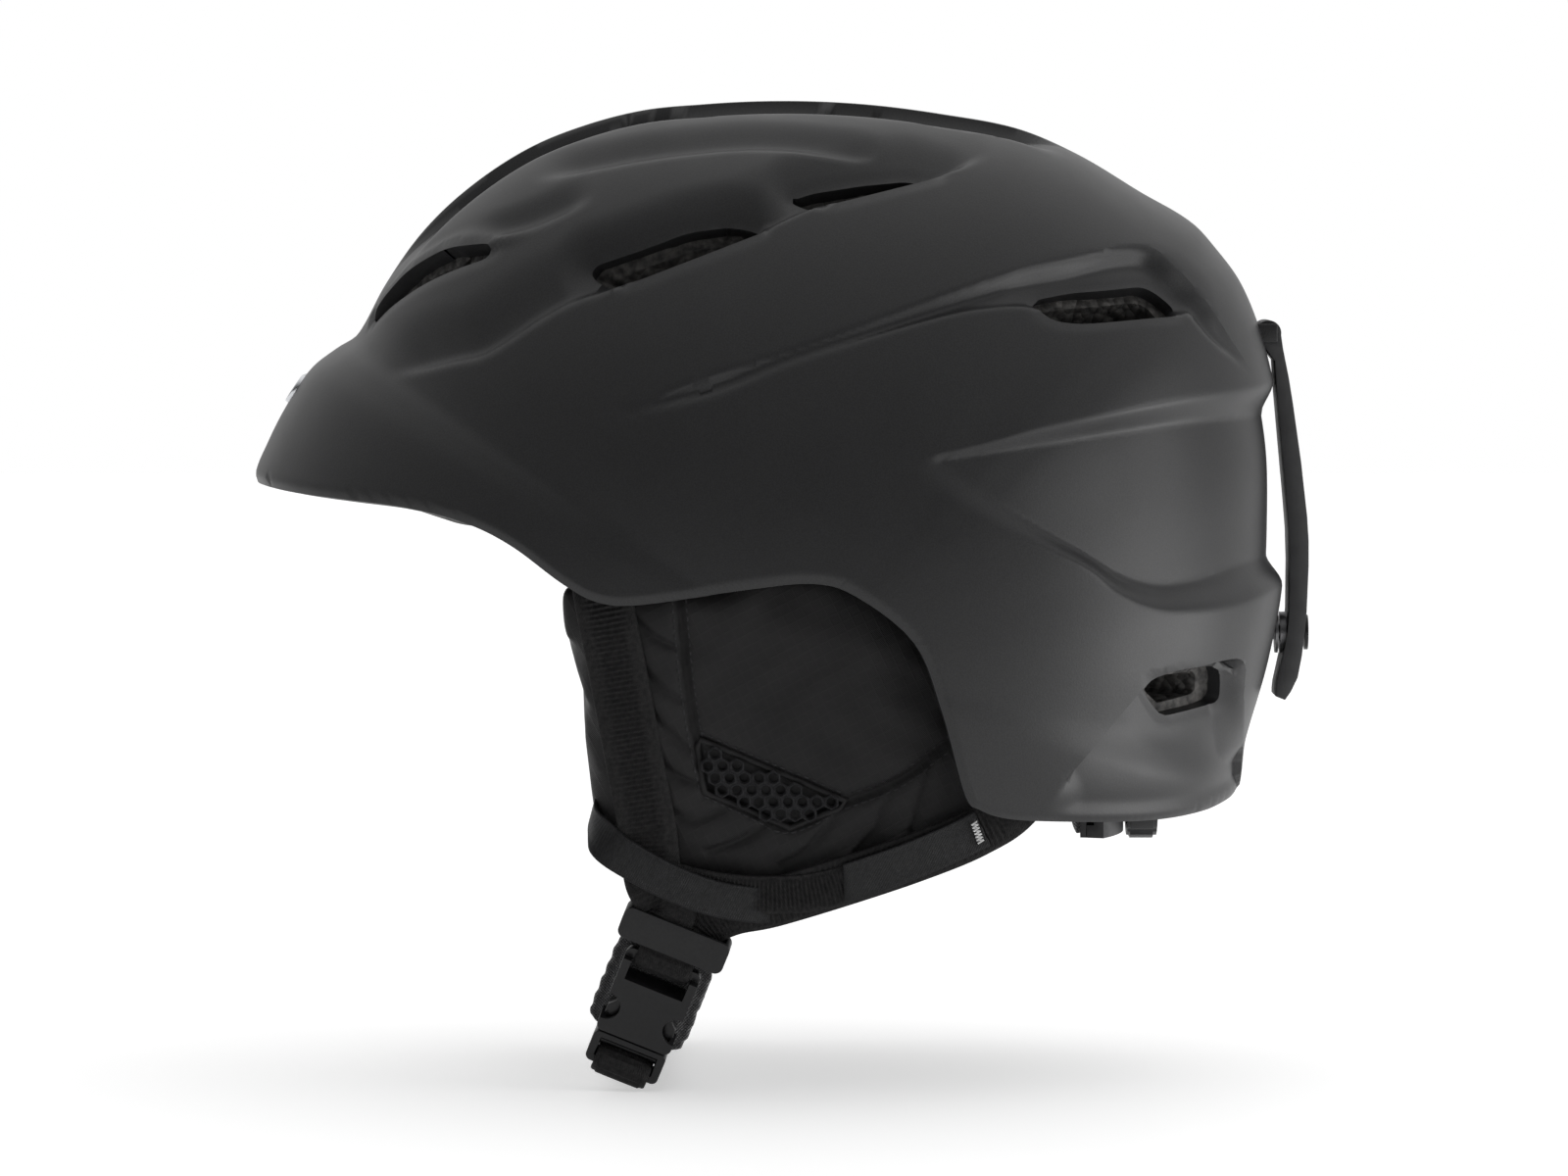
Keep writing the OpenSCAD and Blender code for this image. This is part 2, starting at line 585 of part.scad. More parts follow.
module chin_pad() {
    color([0.07, 0.07, 0.075]) at_buckle() translate([0, 11.6, -9.6]) linear_extrude(4.4) rounded(30, 32, 6);
}
chin_half = [
    [-71.6, -43.6, -103], [-64, -46.6, -116], [-52, -49.4, -124.6], [-28, -51.4, -128.4],
    [0, -52, -129.2], [26, -52, -128.9], [42, -51.6, -128.3]
];
module chin_webbing() {
    chin_path = concat([in_buckle(0, 31, 0) - [2*in_buckle(0, 31, 0)[0], 0, 0]], chin_half,
        [in_buckle(0, -9.8, -7.5), in_buckle(0, -6.6, -4.4), in_buckle(0, -6.3, -1.6)]);
    mirror_out = [-buckle_out[0], buckle_out[1], buckle_out[2]];
    chin_out = [
        mirror_out, mirror_out, [-0.9, 0, -0.45], [-0.35, 0, -1], [-0.1, 0, -1], [0, 0, -1],
        [0.05, 0, -1], [0.15, 0, -1], [0.15, -0.2, -1], -buckle_up, -buckle_up
    ];
    color([0.04, 0.04, 0.04]) ribbon(chin_path, chin_out, strap_width, strap_wall);
}

// ---- Goggle strap retainer ----

retainer_inner = [[132.4, 66], [133.1, 56], [133.9, 47.6], [135.1, 33.6], [136.6, 16.8], [136.9, 0],
    [136.4, -11.2], [134.8, -19.6], [133.2, -27], [133, -30.4]];
retainer_outer = [[135.6, -31.4], [139.2, -25], [141.2, -12], [142, 0], [142.2, 14], [141, 28], [138.8, 44.8],
    [136.4, 60.2], [134.4, 70]];
pin_radius = 1.5;

module retainer_strap() {
    color([0.03, 0.03, 0.03]) difference() {
        across_x(-retainer_width/2, retainer_width/2) {
            polygon(concat(curve(retainer_inner, 2), curve(retainer_outer, 2)));
            translate([retainer_hinge[1], retainer_hinge[2]]) circle(3.6);
            polygon([[128.6, 70.2], [132.4, 65.2], [135.2, 65], [134, 73.6]]);
        }
        translate([-20, retainer_hinge[1], retainer_hinge[2]]) rotate([0, 90, 0])
            cylinder(r = pin_radius + 0.06, h = 40);
        translate([0, snap_y + 2, snap_z]) rotate([-90, 0, 0]) cylinder(r = 2, h = 12);
        translate([0, 130, snap_z]) rotate([-90, 0, 0]) cylinder(r = 6.3, h = 6.4);
    }
}
module retainer_anchor() {
    color([0.05, 0.05, 0.05]) translate(retainer_hinge) {
        translate([-12.2, 0, 0]) rotate([0, 90, 0]) cylinder(r = pin_radius, h = 24.4);
        for (x = [-12.2, retainer_width/2 + 0.4]) translate([x, -4.8, -2.6]) cube([1.8, 7.2, 5.2]);
        translate([-12.2, -6.6, -5]) cube([24.4, 2, 10]);
    }
}
module snap_stud() {
    color([0.7, 0.7, 0.72]) translate([0, 0, snap_z]) rotate([-90, 0, 0]) {
        translate([0, 0, snap_y]) cylinder(r = 5.9, h = 0.8);
        translate([0, 0, snap_y + 0.7]) cylinder(r = 1.9, h = 1.6);
        translate([0, 0, snap_y - 8]) cylinder(r = 2.1, h = 8.1);
        translate([0, 0, snap_y - 9.4]) cylinder(r = 4.2, h = 1.5);
    }
}
module snap_socket() {
    color([0.7, 0.7, 0.72]) translate([0, snap_y + 1.3, snap_z]) rotate([-90, 0, 0]) difference() {
        cylinder(r = 5.9, h = 1.7);
        translate([0, 0, -1]) cylinder(r = 2.5, h = 5);
    }
}
module snap_cap() {
    color([0.04, 0.04, 0.04]) translate([0, 141.6, snap_z]) rotate([-90, 0, 0]) {
        cylinder(r = 5, h = 1);
        translate([0, 0, -4.4]) cylinder(r = 1.8, h = 4.5);
    }
}

// ---- Vent control ----

module vent_shutter() {
    pad = 1.5;
    color([0.06, 0.06, 0.06]) difference() {
        crown_sweep(-61, 50) crown_section(shutter_outer - shutter_wall, shutter_outer, shutter_half);
        for (side = [-1, 1], range = crown_vents)
            translate([side*crown_vent_x - crown_vent_r - 0.6, range[0] - pad, 90])
                cube([2*crown_vent_r + 1.2, range[1] - range[0] + 2*pad, 80]);
    }
}
module vent_button() {
    color([0.05, 0.05, 0.05]) {
        crown_sweep(button_y - button_length/2, button_y + button_length/2)
            crown_section(shutter_outer + 0.3, crown_radius - 0.9, button_half);
        crown_sweep(button_y - 30, button_y + 30)
            crown_section(crown_radius - 4.6, crown_radius - 3.6, cover_half);
    }
}

// ---- Fit system ----

band_y = 10;         // centre of the fit bands' circle
tooth = 1;           // module of the pinion and racks
pinion_r = pinion_teeth*tooth/2;
pressure = 25;
rack_addendum = 0.8;
backlash = 0.3;
band_inner = band_radius - 0.7;
band_outer = band_radius + 0.7;
housing_half = 24;   // degrees each side of the middle
housing_top = 14;
dial_y = band_y + band_radius + 4.9;

// A wall round the fit bands' axis, between two bearings from the back, positive to the wearer's left.
module arc_wall(r0, r1, z0, z1, from, to) {
    translate([0, band_y, dial_z]) rotate([0, 0, 90 - to]) rotate_extrude(angle = to - from, $fn = 160)
        translate([r0, z0]) square([r1 - r0, z1 - z0]);
}
module at_bearing(a, r, z) {
    translate([0, band_y, dial_z + z]) rotate([0, 0, -a]) translate([0, r, 0]) rotate([-90, 0, 0]) children();
}

module height_guide() {
    color([0.15, 0.15, 0.15]) difference() {
        translate([-guide_size[0]/2, guide_y, guide_z]) cube(guide_size);
        translate([-8.4, guide_y + 2, guide_z - 1]) cube([16.8, 3.4, guide_size[2] + 2]);
        translate([-5, guide_y - 1, guide_z - 1]) cube([10, 4, guide_size[2] + 2]);
        for (p = pin_seats) translate([p[0], guide_y - 1, p[1]]) rotate([-90, 0, 0]) cylinder(r = 1.9, h = 20);
    }
}
module guide_pins() {
    color([0.2, 0.2, 0.2]) for (p = pin_seats) translate([p[0], guide_y, p[1]]) rotate([-90, 0, 0]) {
        translate([0, 0, -1.2]) cylinder(r = 2.9, h = 1.1);
        translate([0, 0, -0.2]) cylinder(r = 1.8, h = 16);
    }
}
module height_stem() {
    color([0.2, 0.2, 0.21]) {
        translate([-8, guide_y + 2.3, -32]) cube([16, 2.8, 44]);
        translate([-8, 86.4, -32]) cube([16, guide_y - 84, 2.8]);
        translate([-8, 86.4, dial_z + housing_top + 0.1]) cube([16, 2.8, -29.2 - dial_z - housing_top - 0.1]);
    }
}
screw_seats = [for (a = [-20, 20], z = [-12.2, 12.2]) [a, z]];
module fit_housing() {
    color([0.22, 0.22, 0.23]) difference() {
        arc_wall(74.9, 80, -housing_top, housing_top, -housing_half, housing_half);
        arc_wall(74, 77.1, -10.4, 10.4, -housing_half - 2, housing_half + 2);
        at_bearing(0, 74.4, 0) cylinder(r = 6.6, h = 3.2);
        at_bearing(0, 74.4, 0) cylinder(r = 2.6, h = 12);
        for (s = screw_seats) at_bearing(s[0], 70, s[1]) cylinder(r = 0.95, h = 9);
    }
}
module fit_cover() {
    color([0.2, 0.2, 0.21]) difference() {
        arc_wall(72.9, 74.7, -housing_top, housing_top, -housing_half, housing_half);
        for (s = screw_seats) at_bearing(s[0], 70, s[1]) cylinder(r = 0.95, h = 9);
    }
}
module fit_screws() {
    color([0.6, 0.6, 0.62]) for (s = screw_seats) at_bearing(s[0], 71.7, s[1]) {
        cylinder(r = 1.7, h = 1);
        translate([0, 0, 0.9]) cylinder(r = 0.9, h = 6);
    }
}
module nape_pad() {
    color([0.08, 0.08, 0.09]) arc_wall(66.6, 71.4, -housing_top + 1, housing_top - 1, -22, 22);
}

// The pinion as an outline: involute flanks from the base circle, thinned by the backlash.
base_r = pinion_r*cos(pressure);
function involute(t) = base_r*[cos(t) + t*PI/180*sin(t), sin(t) - t*PI/180*cos(t)];
function flank_turn(r) = sqrt(r*r/(base_r*base_r) - 1)*180/PI;
function flank_angle(r) = let (p = involute(flank_turn(r))) atan2(p[1], p[0]);
half_tooth = 90/pinion_teeth - backlash/2/pinion_r*180/PI;
function at_polar(r, a) = [r*cos(a), r*sin(a)];
function tooth_points() =
    let (radii = [3.9, 4.56, 5, 5.4, 5.85], lean = [for (r = radii) half_tooth + flank_angle(pinion_r)
        - flank_angle(max(r, base_r))]) concat(
        [for (i = [0 : 4]) at_polar(radii[i], -lean[i])],
        [for (i = [4 : -1 : 0]) at_polar(radii[i], lean[i])]);

module dial_pinion() {
    color([0.25, 0.25, 0.26]) at_bearing(0, 75, 0) {
        linear_extrude(2.2) {
            circle(3.95);
            for (i = [0 : pinion_teeth - 1]) rotate(360*(i + 0.5)/pinion_teeth) polygon(tooth_points());
        }
        translate([0, 0, 2.1]) cylinder(r = 2.54, h = 9.5);
    }
}
module dial_knob() {
    color([0.05, 0.05, 0.05]) translate([0, dial_y, dial_z]) rotate([-90, 0, 0]) difference() {
        union() {
            cylinder(r = dial_radius - 0.8, h = 8.5);
            translate([0, 0, 0.8]) cylinder(r = dial_radius, h = 6.6);
        }
        for (i = [0 : 11]) rotate(30*i) translate([dial_radius + 0.9, 0, -1]) cylinder(r = 2, h = 12, $fn = 24);
        translate([0, 0, -1]) cylinder(r = 2.58, h = 8);
        translate([0, 0, -1]) difference() {
            cylinder(r = dial_radius - 3.6, h = 5);
            cylinder(r = 5, h = 5);
        }
        translate([0, 0, 3]) cylinder(r = 1.3, h = 8);
        translate([0, 0, 7.4]) cylinder(r = 3, h = 3);
    }
}
module dial_screw() {
    color([0.6, 0.6, 0.62]) translate([0, dial_y, dial_z]) rotate([-90, 0, 0]) {
        translate([0, 0, 7.5]) cylinder(r = 2.8, h = 0.9);
        translate([0, 0, 7.05]) cylinder(r = 1.2, h = 0.5);
    }
}

// The left band's rack runs over the pinion, and the right band's is the same turned over.
rack_from = -15;
rack_teeth = 13;
pitch_angle = PI*tooth/band_radius*180/PI;
module rack_gap() {
    half = PI*tooth/4 + backlash/2;
    slope = tan(pressure);
    linear_extrude(6, center = true)
        polygon([[-half - 1.6*slope, pinion_r - 1.6], [half + 1.6*slope, pinion_r - 1.6],
            [half - 1.2*slope, pinion_r + 1.2], [-half + 1.2*slope, pinion_r + 1.2]]);
}
module fit_band(side) {
    color([0.2, 0.2, 0.21]) translate([0, 0, dial_z]) mirror([side > 0 ? 0 : 1, 0, 0])
        mirror([0, 0, side > 0 ? 0 : 1]) translate([0, 0, -dial_z]) {
            difference() {
                arc_wall(band_inner, band_outer, pinion_r - rack_addendum, 9.9, rack_from, 36);
                for (i = [-6 : 6]) at_bearing(i*pitch_angle, band_radius, 0)
                    rotate([0, 0, 180]) rack_gap();
            }
            arc_wall(band_inner, band_outer, -6, 9.9, 36, 54);
        }
}
module fit_band_left() fit_band(1);
module fit_band_right() fit_band(-1);

module band_pad(side) {
    color([0.08, 0.08, 0.09]) translate([0, 0, dial_z]) mirror([side > 0 ? 0 : 1, 0, 0])
        mirror([0, 0, side > 0 ? 0 : 1]) translate([0, 0, -dial_z])
            arc_wall(band_inner - 3.3, band_inner - 0.3, -5, 9, 38, 53);
}
module band_pad_left() band_pad(1);
module band_pad_right() band_pad(-1);

// ---- Nodes ----

outer_shell();
eps_liner();
front_badge();
brow_pad();
rear_pad();
crown_pad();
side_pads();
hook_patches();
front_strap_left();
front_strap_right();
rear_strap_left();
rear_strap_right();
front_strap_anchors();
rear_strap_anchors();
ear_pad_left();
ear_pad_right();
ear_mesh_left();
ear_mesh_right();
ear_lining_left();
ear_lining_right();
ear_band_left();
ear_band_right();
ear_clips();
strap_label_left();
strap_label_right();
strap_divider_left();
strap_divider_right();
buckle_strap();
buckle_socket();
buckle_plug();
buckle_arm_front();
buckle_arm_rear();
chin_pad();
chin_webbing();
retainer_anchor();
retainer_strap();
snap_cap();
snap_socket();
snap_stud();
vent_shutter();
vent_button();
height_guide();
guide_pins();
height_stem();
fit_housing();
fit_cover();
fit_screws();
nape_pad();
dial_knob();
dial_pinion();
dial_screw();
fit_band_left();
fit_band_right();
band_pad_left();
band_pad_right();
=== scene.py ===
"""Looks of the ski helmet: shell, foam, pads, webbing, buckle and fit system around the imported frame."""

import math
from functools import partial

import bmesh
import bpy
import numpy as np
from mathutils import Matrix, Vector
from mathutils.bvhtree import BVHTree


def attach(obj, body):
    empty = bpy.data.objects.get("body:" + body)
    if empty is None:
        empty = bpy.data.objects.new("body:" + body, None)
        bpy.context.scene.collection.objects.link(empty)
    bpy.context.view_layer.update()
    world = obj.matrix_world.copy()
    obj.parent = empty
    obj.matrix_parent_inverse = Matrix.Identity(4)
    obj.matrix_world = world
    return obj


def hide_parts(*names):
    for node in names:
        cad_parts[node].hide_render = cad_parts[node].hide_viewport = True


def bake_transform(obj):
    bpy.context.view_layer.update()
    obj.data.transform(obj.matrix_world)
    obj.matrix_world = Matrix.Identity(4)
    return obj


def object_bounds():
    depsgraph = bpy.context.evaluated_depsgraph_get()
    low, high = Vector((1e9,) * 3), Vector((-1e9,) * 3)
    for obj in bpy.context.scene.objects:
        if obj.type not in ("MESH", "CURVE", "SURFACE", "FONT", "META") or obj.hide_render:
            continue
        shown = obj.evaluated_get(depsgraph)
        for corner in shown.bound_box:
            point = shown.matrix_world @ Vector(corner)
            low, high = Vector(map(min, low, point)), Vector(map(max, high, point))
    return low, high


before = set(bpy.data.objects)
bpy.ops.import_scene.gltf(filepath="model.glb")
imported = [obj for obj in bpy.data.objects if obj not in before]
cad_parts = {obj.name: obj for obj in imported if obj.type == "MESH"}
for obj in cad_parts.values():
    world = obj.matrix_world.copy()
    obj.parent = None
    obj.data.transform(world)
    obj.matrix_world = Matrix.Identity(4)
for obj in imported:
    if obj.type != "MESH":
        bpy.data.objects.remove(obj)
cad_box = [list(corner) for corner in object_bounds()]
MM = 0.001
scene = bpy.context.scene

# ---------------------------------------------------------------- camera, light and floor

CAMERA_DISTANCE = 2.2
CAMERA_RISE = math.radians(3)
LOOK_AT = Vector((0, -0.007, 0))
VIEW_WIDTH = 0.448            # width of the photograph at the helmet's middle plane
SENSOR = 36.0
FLOOR_Z = cad_box[0][2] - 0.002
FLOOR_HALF = 4500             # millimetres
BRIGHTEST = Vector((-0.5, 0.1, 0.85)).normalized()     # where the room's light comes from


def add_camera():
    data = bpy.data.cameras.new("camera")
    data.sensor_width = SENSOR
    data.lens = SENSOR * CAMERA_DISTANCE / VIEW_WIDTH
    camera = bpy.data.objects.new("camera", data)
    away = Vector((math.cos(CAMERA_RISE), 0, math.sin(CAMERA_RISE)))
    camera.location = LOOK_AT + away * CAMERA_DISTANCE
    camera.rotation_euler = (-away).to_track_quat("-Z", "Y").to_euler()
    scene.collection.objects.link(camera)
    scene.camera = camera


def add_softbox(name, place, target, size, watts):
    data = bpy.data.lights.new(name, "AREA")
    data.shape = "RECTANGLE"
    data.size, data.size_y = size
    data.energy = watts
    lamp = bpy.data.objects.new(name, data)
    lamp.location = place
    lamp.visible_camera = False
    lamp.rotation_euler = (Vector(target) - Vector(place)).to_track_quat("-Z", "Y").to_euler()
    scene.collection.objects.link(lamp)


def add_world(dark, bright):
    """A room that is dim towards the camera and brightens overhead and behind. The camera sees it white."""
    world = bpy.data.worlds.new("studio")
    world.use_nodes = True
    nodes, links = world.node_tree.nodes, world.node_tree.links
    way = nodes.new("ShaderNodeTexCoord").outputs["Generated"]
    rise = nodes.new("ShaderNodeVectorMath")
    rise.operation = "DOT_PRODUCT"
    rise.inputs[1].default_value = BRIGHTEST
    level = nodes.new("ShaderNodeMapRange")
    level.inputs["From Min"].default_value = -0.3
    level.inputs["To Min"].default_value = dark
    level.inputs["To Max"].default_value = bright
    seen = nodes.new("ShaderNodeMath")
    seen.operation = "MAXIMUM"
    links.new(way, rise.inputs[0])
    links.new(rise.outputs["Value"], level.inputs["Value"])
    links.new(level.outputs["Result"], seen.inputs[0])
    links.new(nodes.new("ShaderNodeLightPath").outputs["Is Camera Ray"], seen.inputs[1])
    links.new(seen.outputs[0], nodes["Background"].inputs["Strength"])
    nodes["Background"].inputs["Color"].default_value = (1, 1, 1, 1)
    scene.world = world


def shaded(name, mesh, crease):
    """An object for a mesh, smooth shaded except across edges sharper than crease degrees."""
    mesh.polygons.foreach_set("use_smooth", [True] * len(mesh.polygons))
    mesh.set_sharp_from_angle(angle=math.radians(crease))
    obj = bpy.data.objects.new(name, mesh)
    scene.collection.objects.link(obj)
    return obj


def new_object(name, points, faces, crease=35):
    """A mesh object from points in millimetres."""
    mesh = bpy.data.meshes.new(name)
    mesh.from_pydata((np.asarray(points, float) * MM).tolist(), [], faces)
    mesh.update()
    return shaded(name, mesh, crease)


def add_floor():
    signs = (-1, -1), (1, -1), (1, 1), (-1, 1)
    corners = [(x * FLOOR_HALF, y * FLOOR_HALF, FLOOR_Z / MM) for x, y in signs]
    floor = new_object("floor", corners, [(0, 1, 2, 3)])
    floor.data.materials.append(pale_floor())


# ---------------------------------------------------------------- node materials

def make_material(name, colour, roughness, **sockets):
    """A Principled material with its constants set on the shader's own sockets."""
    material = bpy.data.materials.new(name)
    material.use_nodes = True
    shader = material.node_tree.nodes["Principled BSDF"]
    shader.inputs["Base Color"].default_value = (*colour, 1)
    shader.inputs["Roughness"].default_value = roughness
    for socket, value in sockets.items():
        shader.inputs[socket.replace("_", " ")].default_value = value
    return material, Nodes(material.node_tree, shader)


class Nodes:
    """Short calls for the few node set-ups that the materials share."""

    def __init__(self, tree, shader):
        self.tree = tree
        self.shader = shader
        self.place = self.add("ShaderNodeTexCoord").outputs["Object"]

    def add(self, kind, operation=None):
        node = self.tree.nodes.new(kind)
        if operation:
            node.operation = operation
        return node

    def link(self, out, into):
        self.tree.links.new(out, into)

    def noise(self, scale, detail=2.0):
        node = self.add("ShaderNodeTexNoise")
        node.inputs["Scale"].default_value = scale
        node.inputs["Detail"].default_value = detail
        self.link(self.place, node.inputs["Vector"])
        return node.outputs["Fac"]

    def cells(self, scale):
        node = self.add("ShaderNodeTexVoronoi")
        node.inputs["Scale"].default_value = scale
        self.link(self.place, node.inputs["Vector"])
        return node.outputs["Distance"]

    def math(self, operation, a, b=None):
        node = self.add("ShaderNodeMath", operation)
        for socket, value in zip(node.inputs, (a, b)):
            if value is None:
                continue
            if isinstance(value, (int, float)):
                socket.default_value = value
            else:
                self.link(value, socket)
        return node.outputs[0]

    def axis(self, direction, pitch):
        """Position along a direction, in turns of pitch millimetres."""
        node = self.add("ShaderNodeVectorMath", "DOT_PRODUCT")
        self.link(self.place, node.inputs[0])
        node.inputs[1].default_value = Vector(direction).normalized() * (2 * math.pi / (pitch * MM))
        return node.outputs["Value"]

    def spread(self, value, low, high):
        node = self.add("ShaderNodeMapRange")
        node.inputs["To Min"].default_value = low
        node.inputs["To Max"].default_value = high
        self.link(value, node.inputs["Value"])
        return node.outputs["Result"]

    def colours(self, value, first, second, low=0.0, high=1.0):
        node = self.add("ShaderNodeValToRGB")
        node.color_ramp.elements[0].position = low
        node.color_ramp.elements[0].color = (*first, 1)
        node.color_ramp.elements[1].position = high
        node.color_ramp.elements[1].color = (*second, 1)
        self.link(value, node.inputs["Fac"])
        self.link(node.outputs["Color"], self.shader.inputs["Base Color"])

    def rough(self, value, low, high):
        self.link(self.spread(value, low, high), self.shader.inputs["Roughness"])

    def bump(self, value, depth, after=None):
        """Adds a bump of that depth in millimetres, over an earlier one if after is given."""
        node = self.add("ShaderNodeBump")
        node.inputs["Distance"].default_value = depth * MM
        self.link(value, node.inputs["Height"])
        if after is not None:
            self.link(after, node.inputs["Normal"])
        self.link(node.outputs["Normal"], self.shader.inputs["Normal"])
        return node.outputs["Normal"]


def pale_floor():
    material, nodes = make_material("pale_floor", (0.85, 0.85, 0.85), 0.7, Emission_Color=(1, 1, 1, 1),
                                    Emission_Strength=0.42)
    nodes.colours(nodes.noise(3), (0.84, 0.84, 0.84), (0.87, 0.87, 0.87), 0.3, 0.7)
    return material


def satin_shell():
    """Soft-touch black paint: fine orange peel, a faint speckle, and slightly uneven gloss."""
    material, nodes = make_material("satin_black", (0.02, 0.02, 0.021), 0.42, Specular_IOR_Level=0.4)
    nodes.colours(nodes.noise(2600, 1), (0.010, 0.010, 0.0105), (0.016, 0.016, 0.017), 0.35, 0.65)
    nodes.rough(nodes.noise(60, 3), 0.38, 0.47)
    nodes.bump(nodes.noise(1500, 1), 0.02)
    return material


def bead_foam():
    """Moulded foam: beads with dark joints between them."""
    material, nodes = make_material("bead_foam", (0.05, 0.05, 0.05), 0.75)
    beads = nodes.cells(330)
    nodes.colours(nodes.noise(420, 3), (0.012, 0.0115, 0.011), (0.07, 0.066, 0.062), 0.35, 0.7)
    nodes.bump(nodes.math("MULTIPLY", beads, -1.0), 1.6)
    return material


def moulded(name, colour, roughness, grain=0.03):
    """Moulded plastic with a fine spark-eroded texture."""
    material, nodes = make_material(name, colour, roughness, Specular_IOR_Level=0.3)
    bright = tuple(c * 1.35 for c in colour)
    nodes.colours(nodes.noise(900, 2), colour, bright, 0.3, 0.75)
    nodes.rough(nodes.noise(250, 3), roughness - 0.05, roughness + 0.08)
    nodes.bump(nodes.noise(2500, 2), grain)
    return material


def metal(name, colour, roughness):
    material, nodes = make_material(name, colour, roughness, Metallic=1.0)
    nodes.rough(nodes.noise(700, 3), roughness - 0.08, roughness + 0.1)
    nodes.bump(nodes.noise(1800, 2), 0.01)
    return material


# ---------------------------------------------------------------- curves

def unit(vectors):
    return vectors / np.maximum(np.linalg.norm(vectors, axis=-1, keepdims=True), 1e-9)


def run_of(line):
    """Distance along a line at each of its points."""
    return np.concatenate([[0], np.cumsum(np.linalg.norm(np.diff(line, axis=0), axis=1))])


def resample(line, run, at):
    """Points at the distances at along a line."""
    return np.stack([np.interp(at, run, line[:, k]) for k in range(line.shape[1])], 1)


def catmull(points, steps=6):
    """A smooth curve through points, with steps points on each span."""
    p = np.asarray(points, float)
    ends = np.vstack([2 * p[0] - p[1], p, 2 * p[-1] - p[-2]])
    found = []
    for i in range(len(p) - 1):
        a, b, c, d = ends[i:i + 4]
        for t in np.arange(steps) / steps:
            found.append(0.5 * (2 * b + (c - a) * t + (2 * a - 5 * b + 4 * c - d) * t ** 2
                                + (3 * b - a - 3 * c + d) * t ** 3))
    return np.array(found + [p[-1]])


def to_line(at, line, reach=30.0):
    """Distance of each point to a line, the share of the line's length there, and its side, 1 to the left.

    Points further than reach from the line's box only get a large distance.
    """
    close = np.all((at > line.min(0) - reach) & (at < line.max(0) + reach), axis=1)
    gap, share, side = np.full(len(at), 1e3), np.zeros(len(at)), np.ones(len(at))
    if close.any():
        gap[close], share[close], side[close] = measure_line(at[close], line)
    return gap, share, side


def measure_line(at, line):
    start, step = line[:-1], np.diff(line, axis=0)
    size = np.maximum((step ** 2).sum(1), 1e-12)
    length = np.sqrt(size)
    along = run_of(line)
    best = np.full(len(at), 1e9)
    share = np.zeros(len(at))
    side = np.ones(len(at))
    for k in range(len(start)):
        off = at - start[k]
        t = np.clip(off @ step[k] / size[k], 0, 1)
        gap = np.linalg.norm(off - t[:, None] * step[k], axis=1)
        near = gap < best - 1e-9
        best[near] = gap[near]
        share[near] = ((along[k] + t * length[k]) / along[-1])[near]
        cross = step[k][0] * off[:, 1] - step[k][1] * off[:, 0]
        side[near] = np.where(cross >= 0, 1, -1)[near]
    return best, share, side


def in_polygon(at, outline):
    """Signed distance to a closed outline, positive inside."""
    closed = np.vstack([outline, outline[:1]])
    inside = np.zeros(len(at), bool)
    for (x0, y0), (x1, y1) in zip(closed[:-1], closed[1:]):
        if y0 == y1:
            continue
        crosses = (y0 > at[:, 1]) != (y1 > at[:, 1])
        inside ^= crosses & (at[:, 0] < (x1 - x0) * (at[:, 1] - y0) / (y1 - y0) + x0)
    distance = to_line(at, closed)[0]
    return np.where(inside, distance, -distance)


def smooth(t):
    t = np.clip(t, 0, 1)
    return t * t * (3 - 2 * t)


# ---------------------------------------------------------------- the shell's form

CORE_Z = -15.0                # height of the point that the angles are measured round
HALF_WIDTH = 109.0
SQUARENESS = 2.25             # power of the shell's cross-section: 2 is an ellipse
SHELL_WALL = 2.2
SHELL_ROUND = (-46, 176)      # angles round the side view, from low at the back to low at the front
SHELL_ACROSS = 86             # and across, to each side
# The shell's outline and lower edge in the side view, as (y, z).
CROWN_LINE = [
    (121.8, -59), (124.9, -41.7), (131.3, -19), (134.6, -2), (135.8, 20), (135.2, 42), (132.7, 57.4),
    (127.4, 77), (122.4, 88.2), (116.2, 96.6), (109.2, 104.2), (93.8, 113.4), (76.4, 123.8),
    (60.2, 130.8), (37.8, 135.2), (15.4, 138), (-7, 138.9), (-29.4, 138), (-46.2, 136.4),
    (-63, 132.2), (-79.8, 125.4), (-99.4, 112), (-110.6, 100.8), (-120.4, 86.8), (-128.2, 72.8),
    (-134.4, 68.6), (-141.5, 63), (-149, 51.8), (-154, 42), (-157.6, 32.8)]
UNDER_LINE = [(176, 158), (192, 140), (215, 128), (250, 122), (290, 120), (320, 122)]    # as (angle, radius)
EDGE_LINE = catmull([
    (-185, 34), (-157.6, 31), (-145, 29.5), (-127.8, 28.2), (-110.9, 26.4), (-94.6, 22.6),
    (-81.7, 16.5), (-67.5, 6.3), (-57.8, 1.4), (-46.3, 0.9), (-18.8, 4.9), (0.7, 6.8), (12.8, 3.2),
    (28.5, -9.4), (36, -27.7), (42.7, -51.7), (46.8, -56), (54.4, -58.8), (68.6, -60.2),
    (94.3, -61.5), (110.7, -60.6), (121.2, -58.3), (150, -52)], 5)

# The outline as knots of (angle, radius), once more a turn before and a turn after.
knots = [(math.degrees(math.atan2(z - CORE_Z, y)), math.hypot(y, z - CORE_Z)) for y, z in CROWN_LINE]
knots = np.array(knots + UNDER_LINE)
knots = np.vstack([knots + [turn, 0] for turn in (-360, 0, 360)])
knot_slopes = (np.roll(knots[:, 1], -1) - np.roll(knots[:, 1], 1)) / (
    np.roll(knots[:, 0], -1) - np.roll(knots[:, 0], 1))


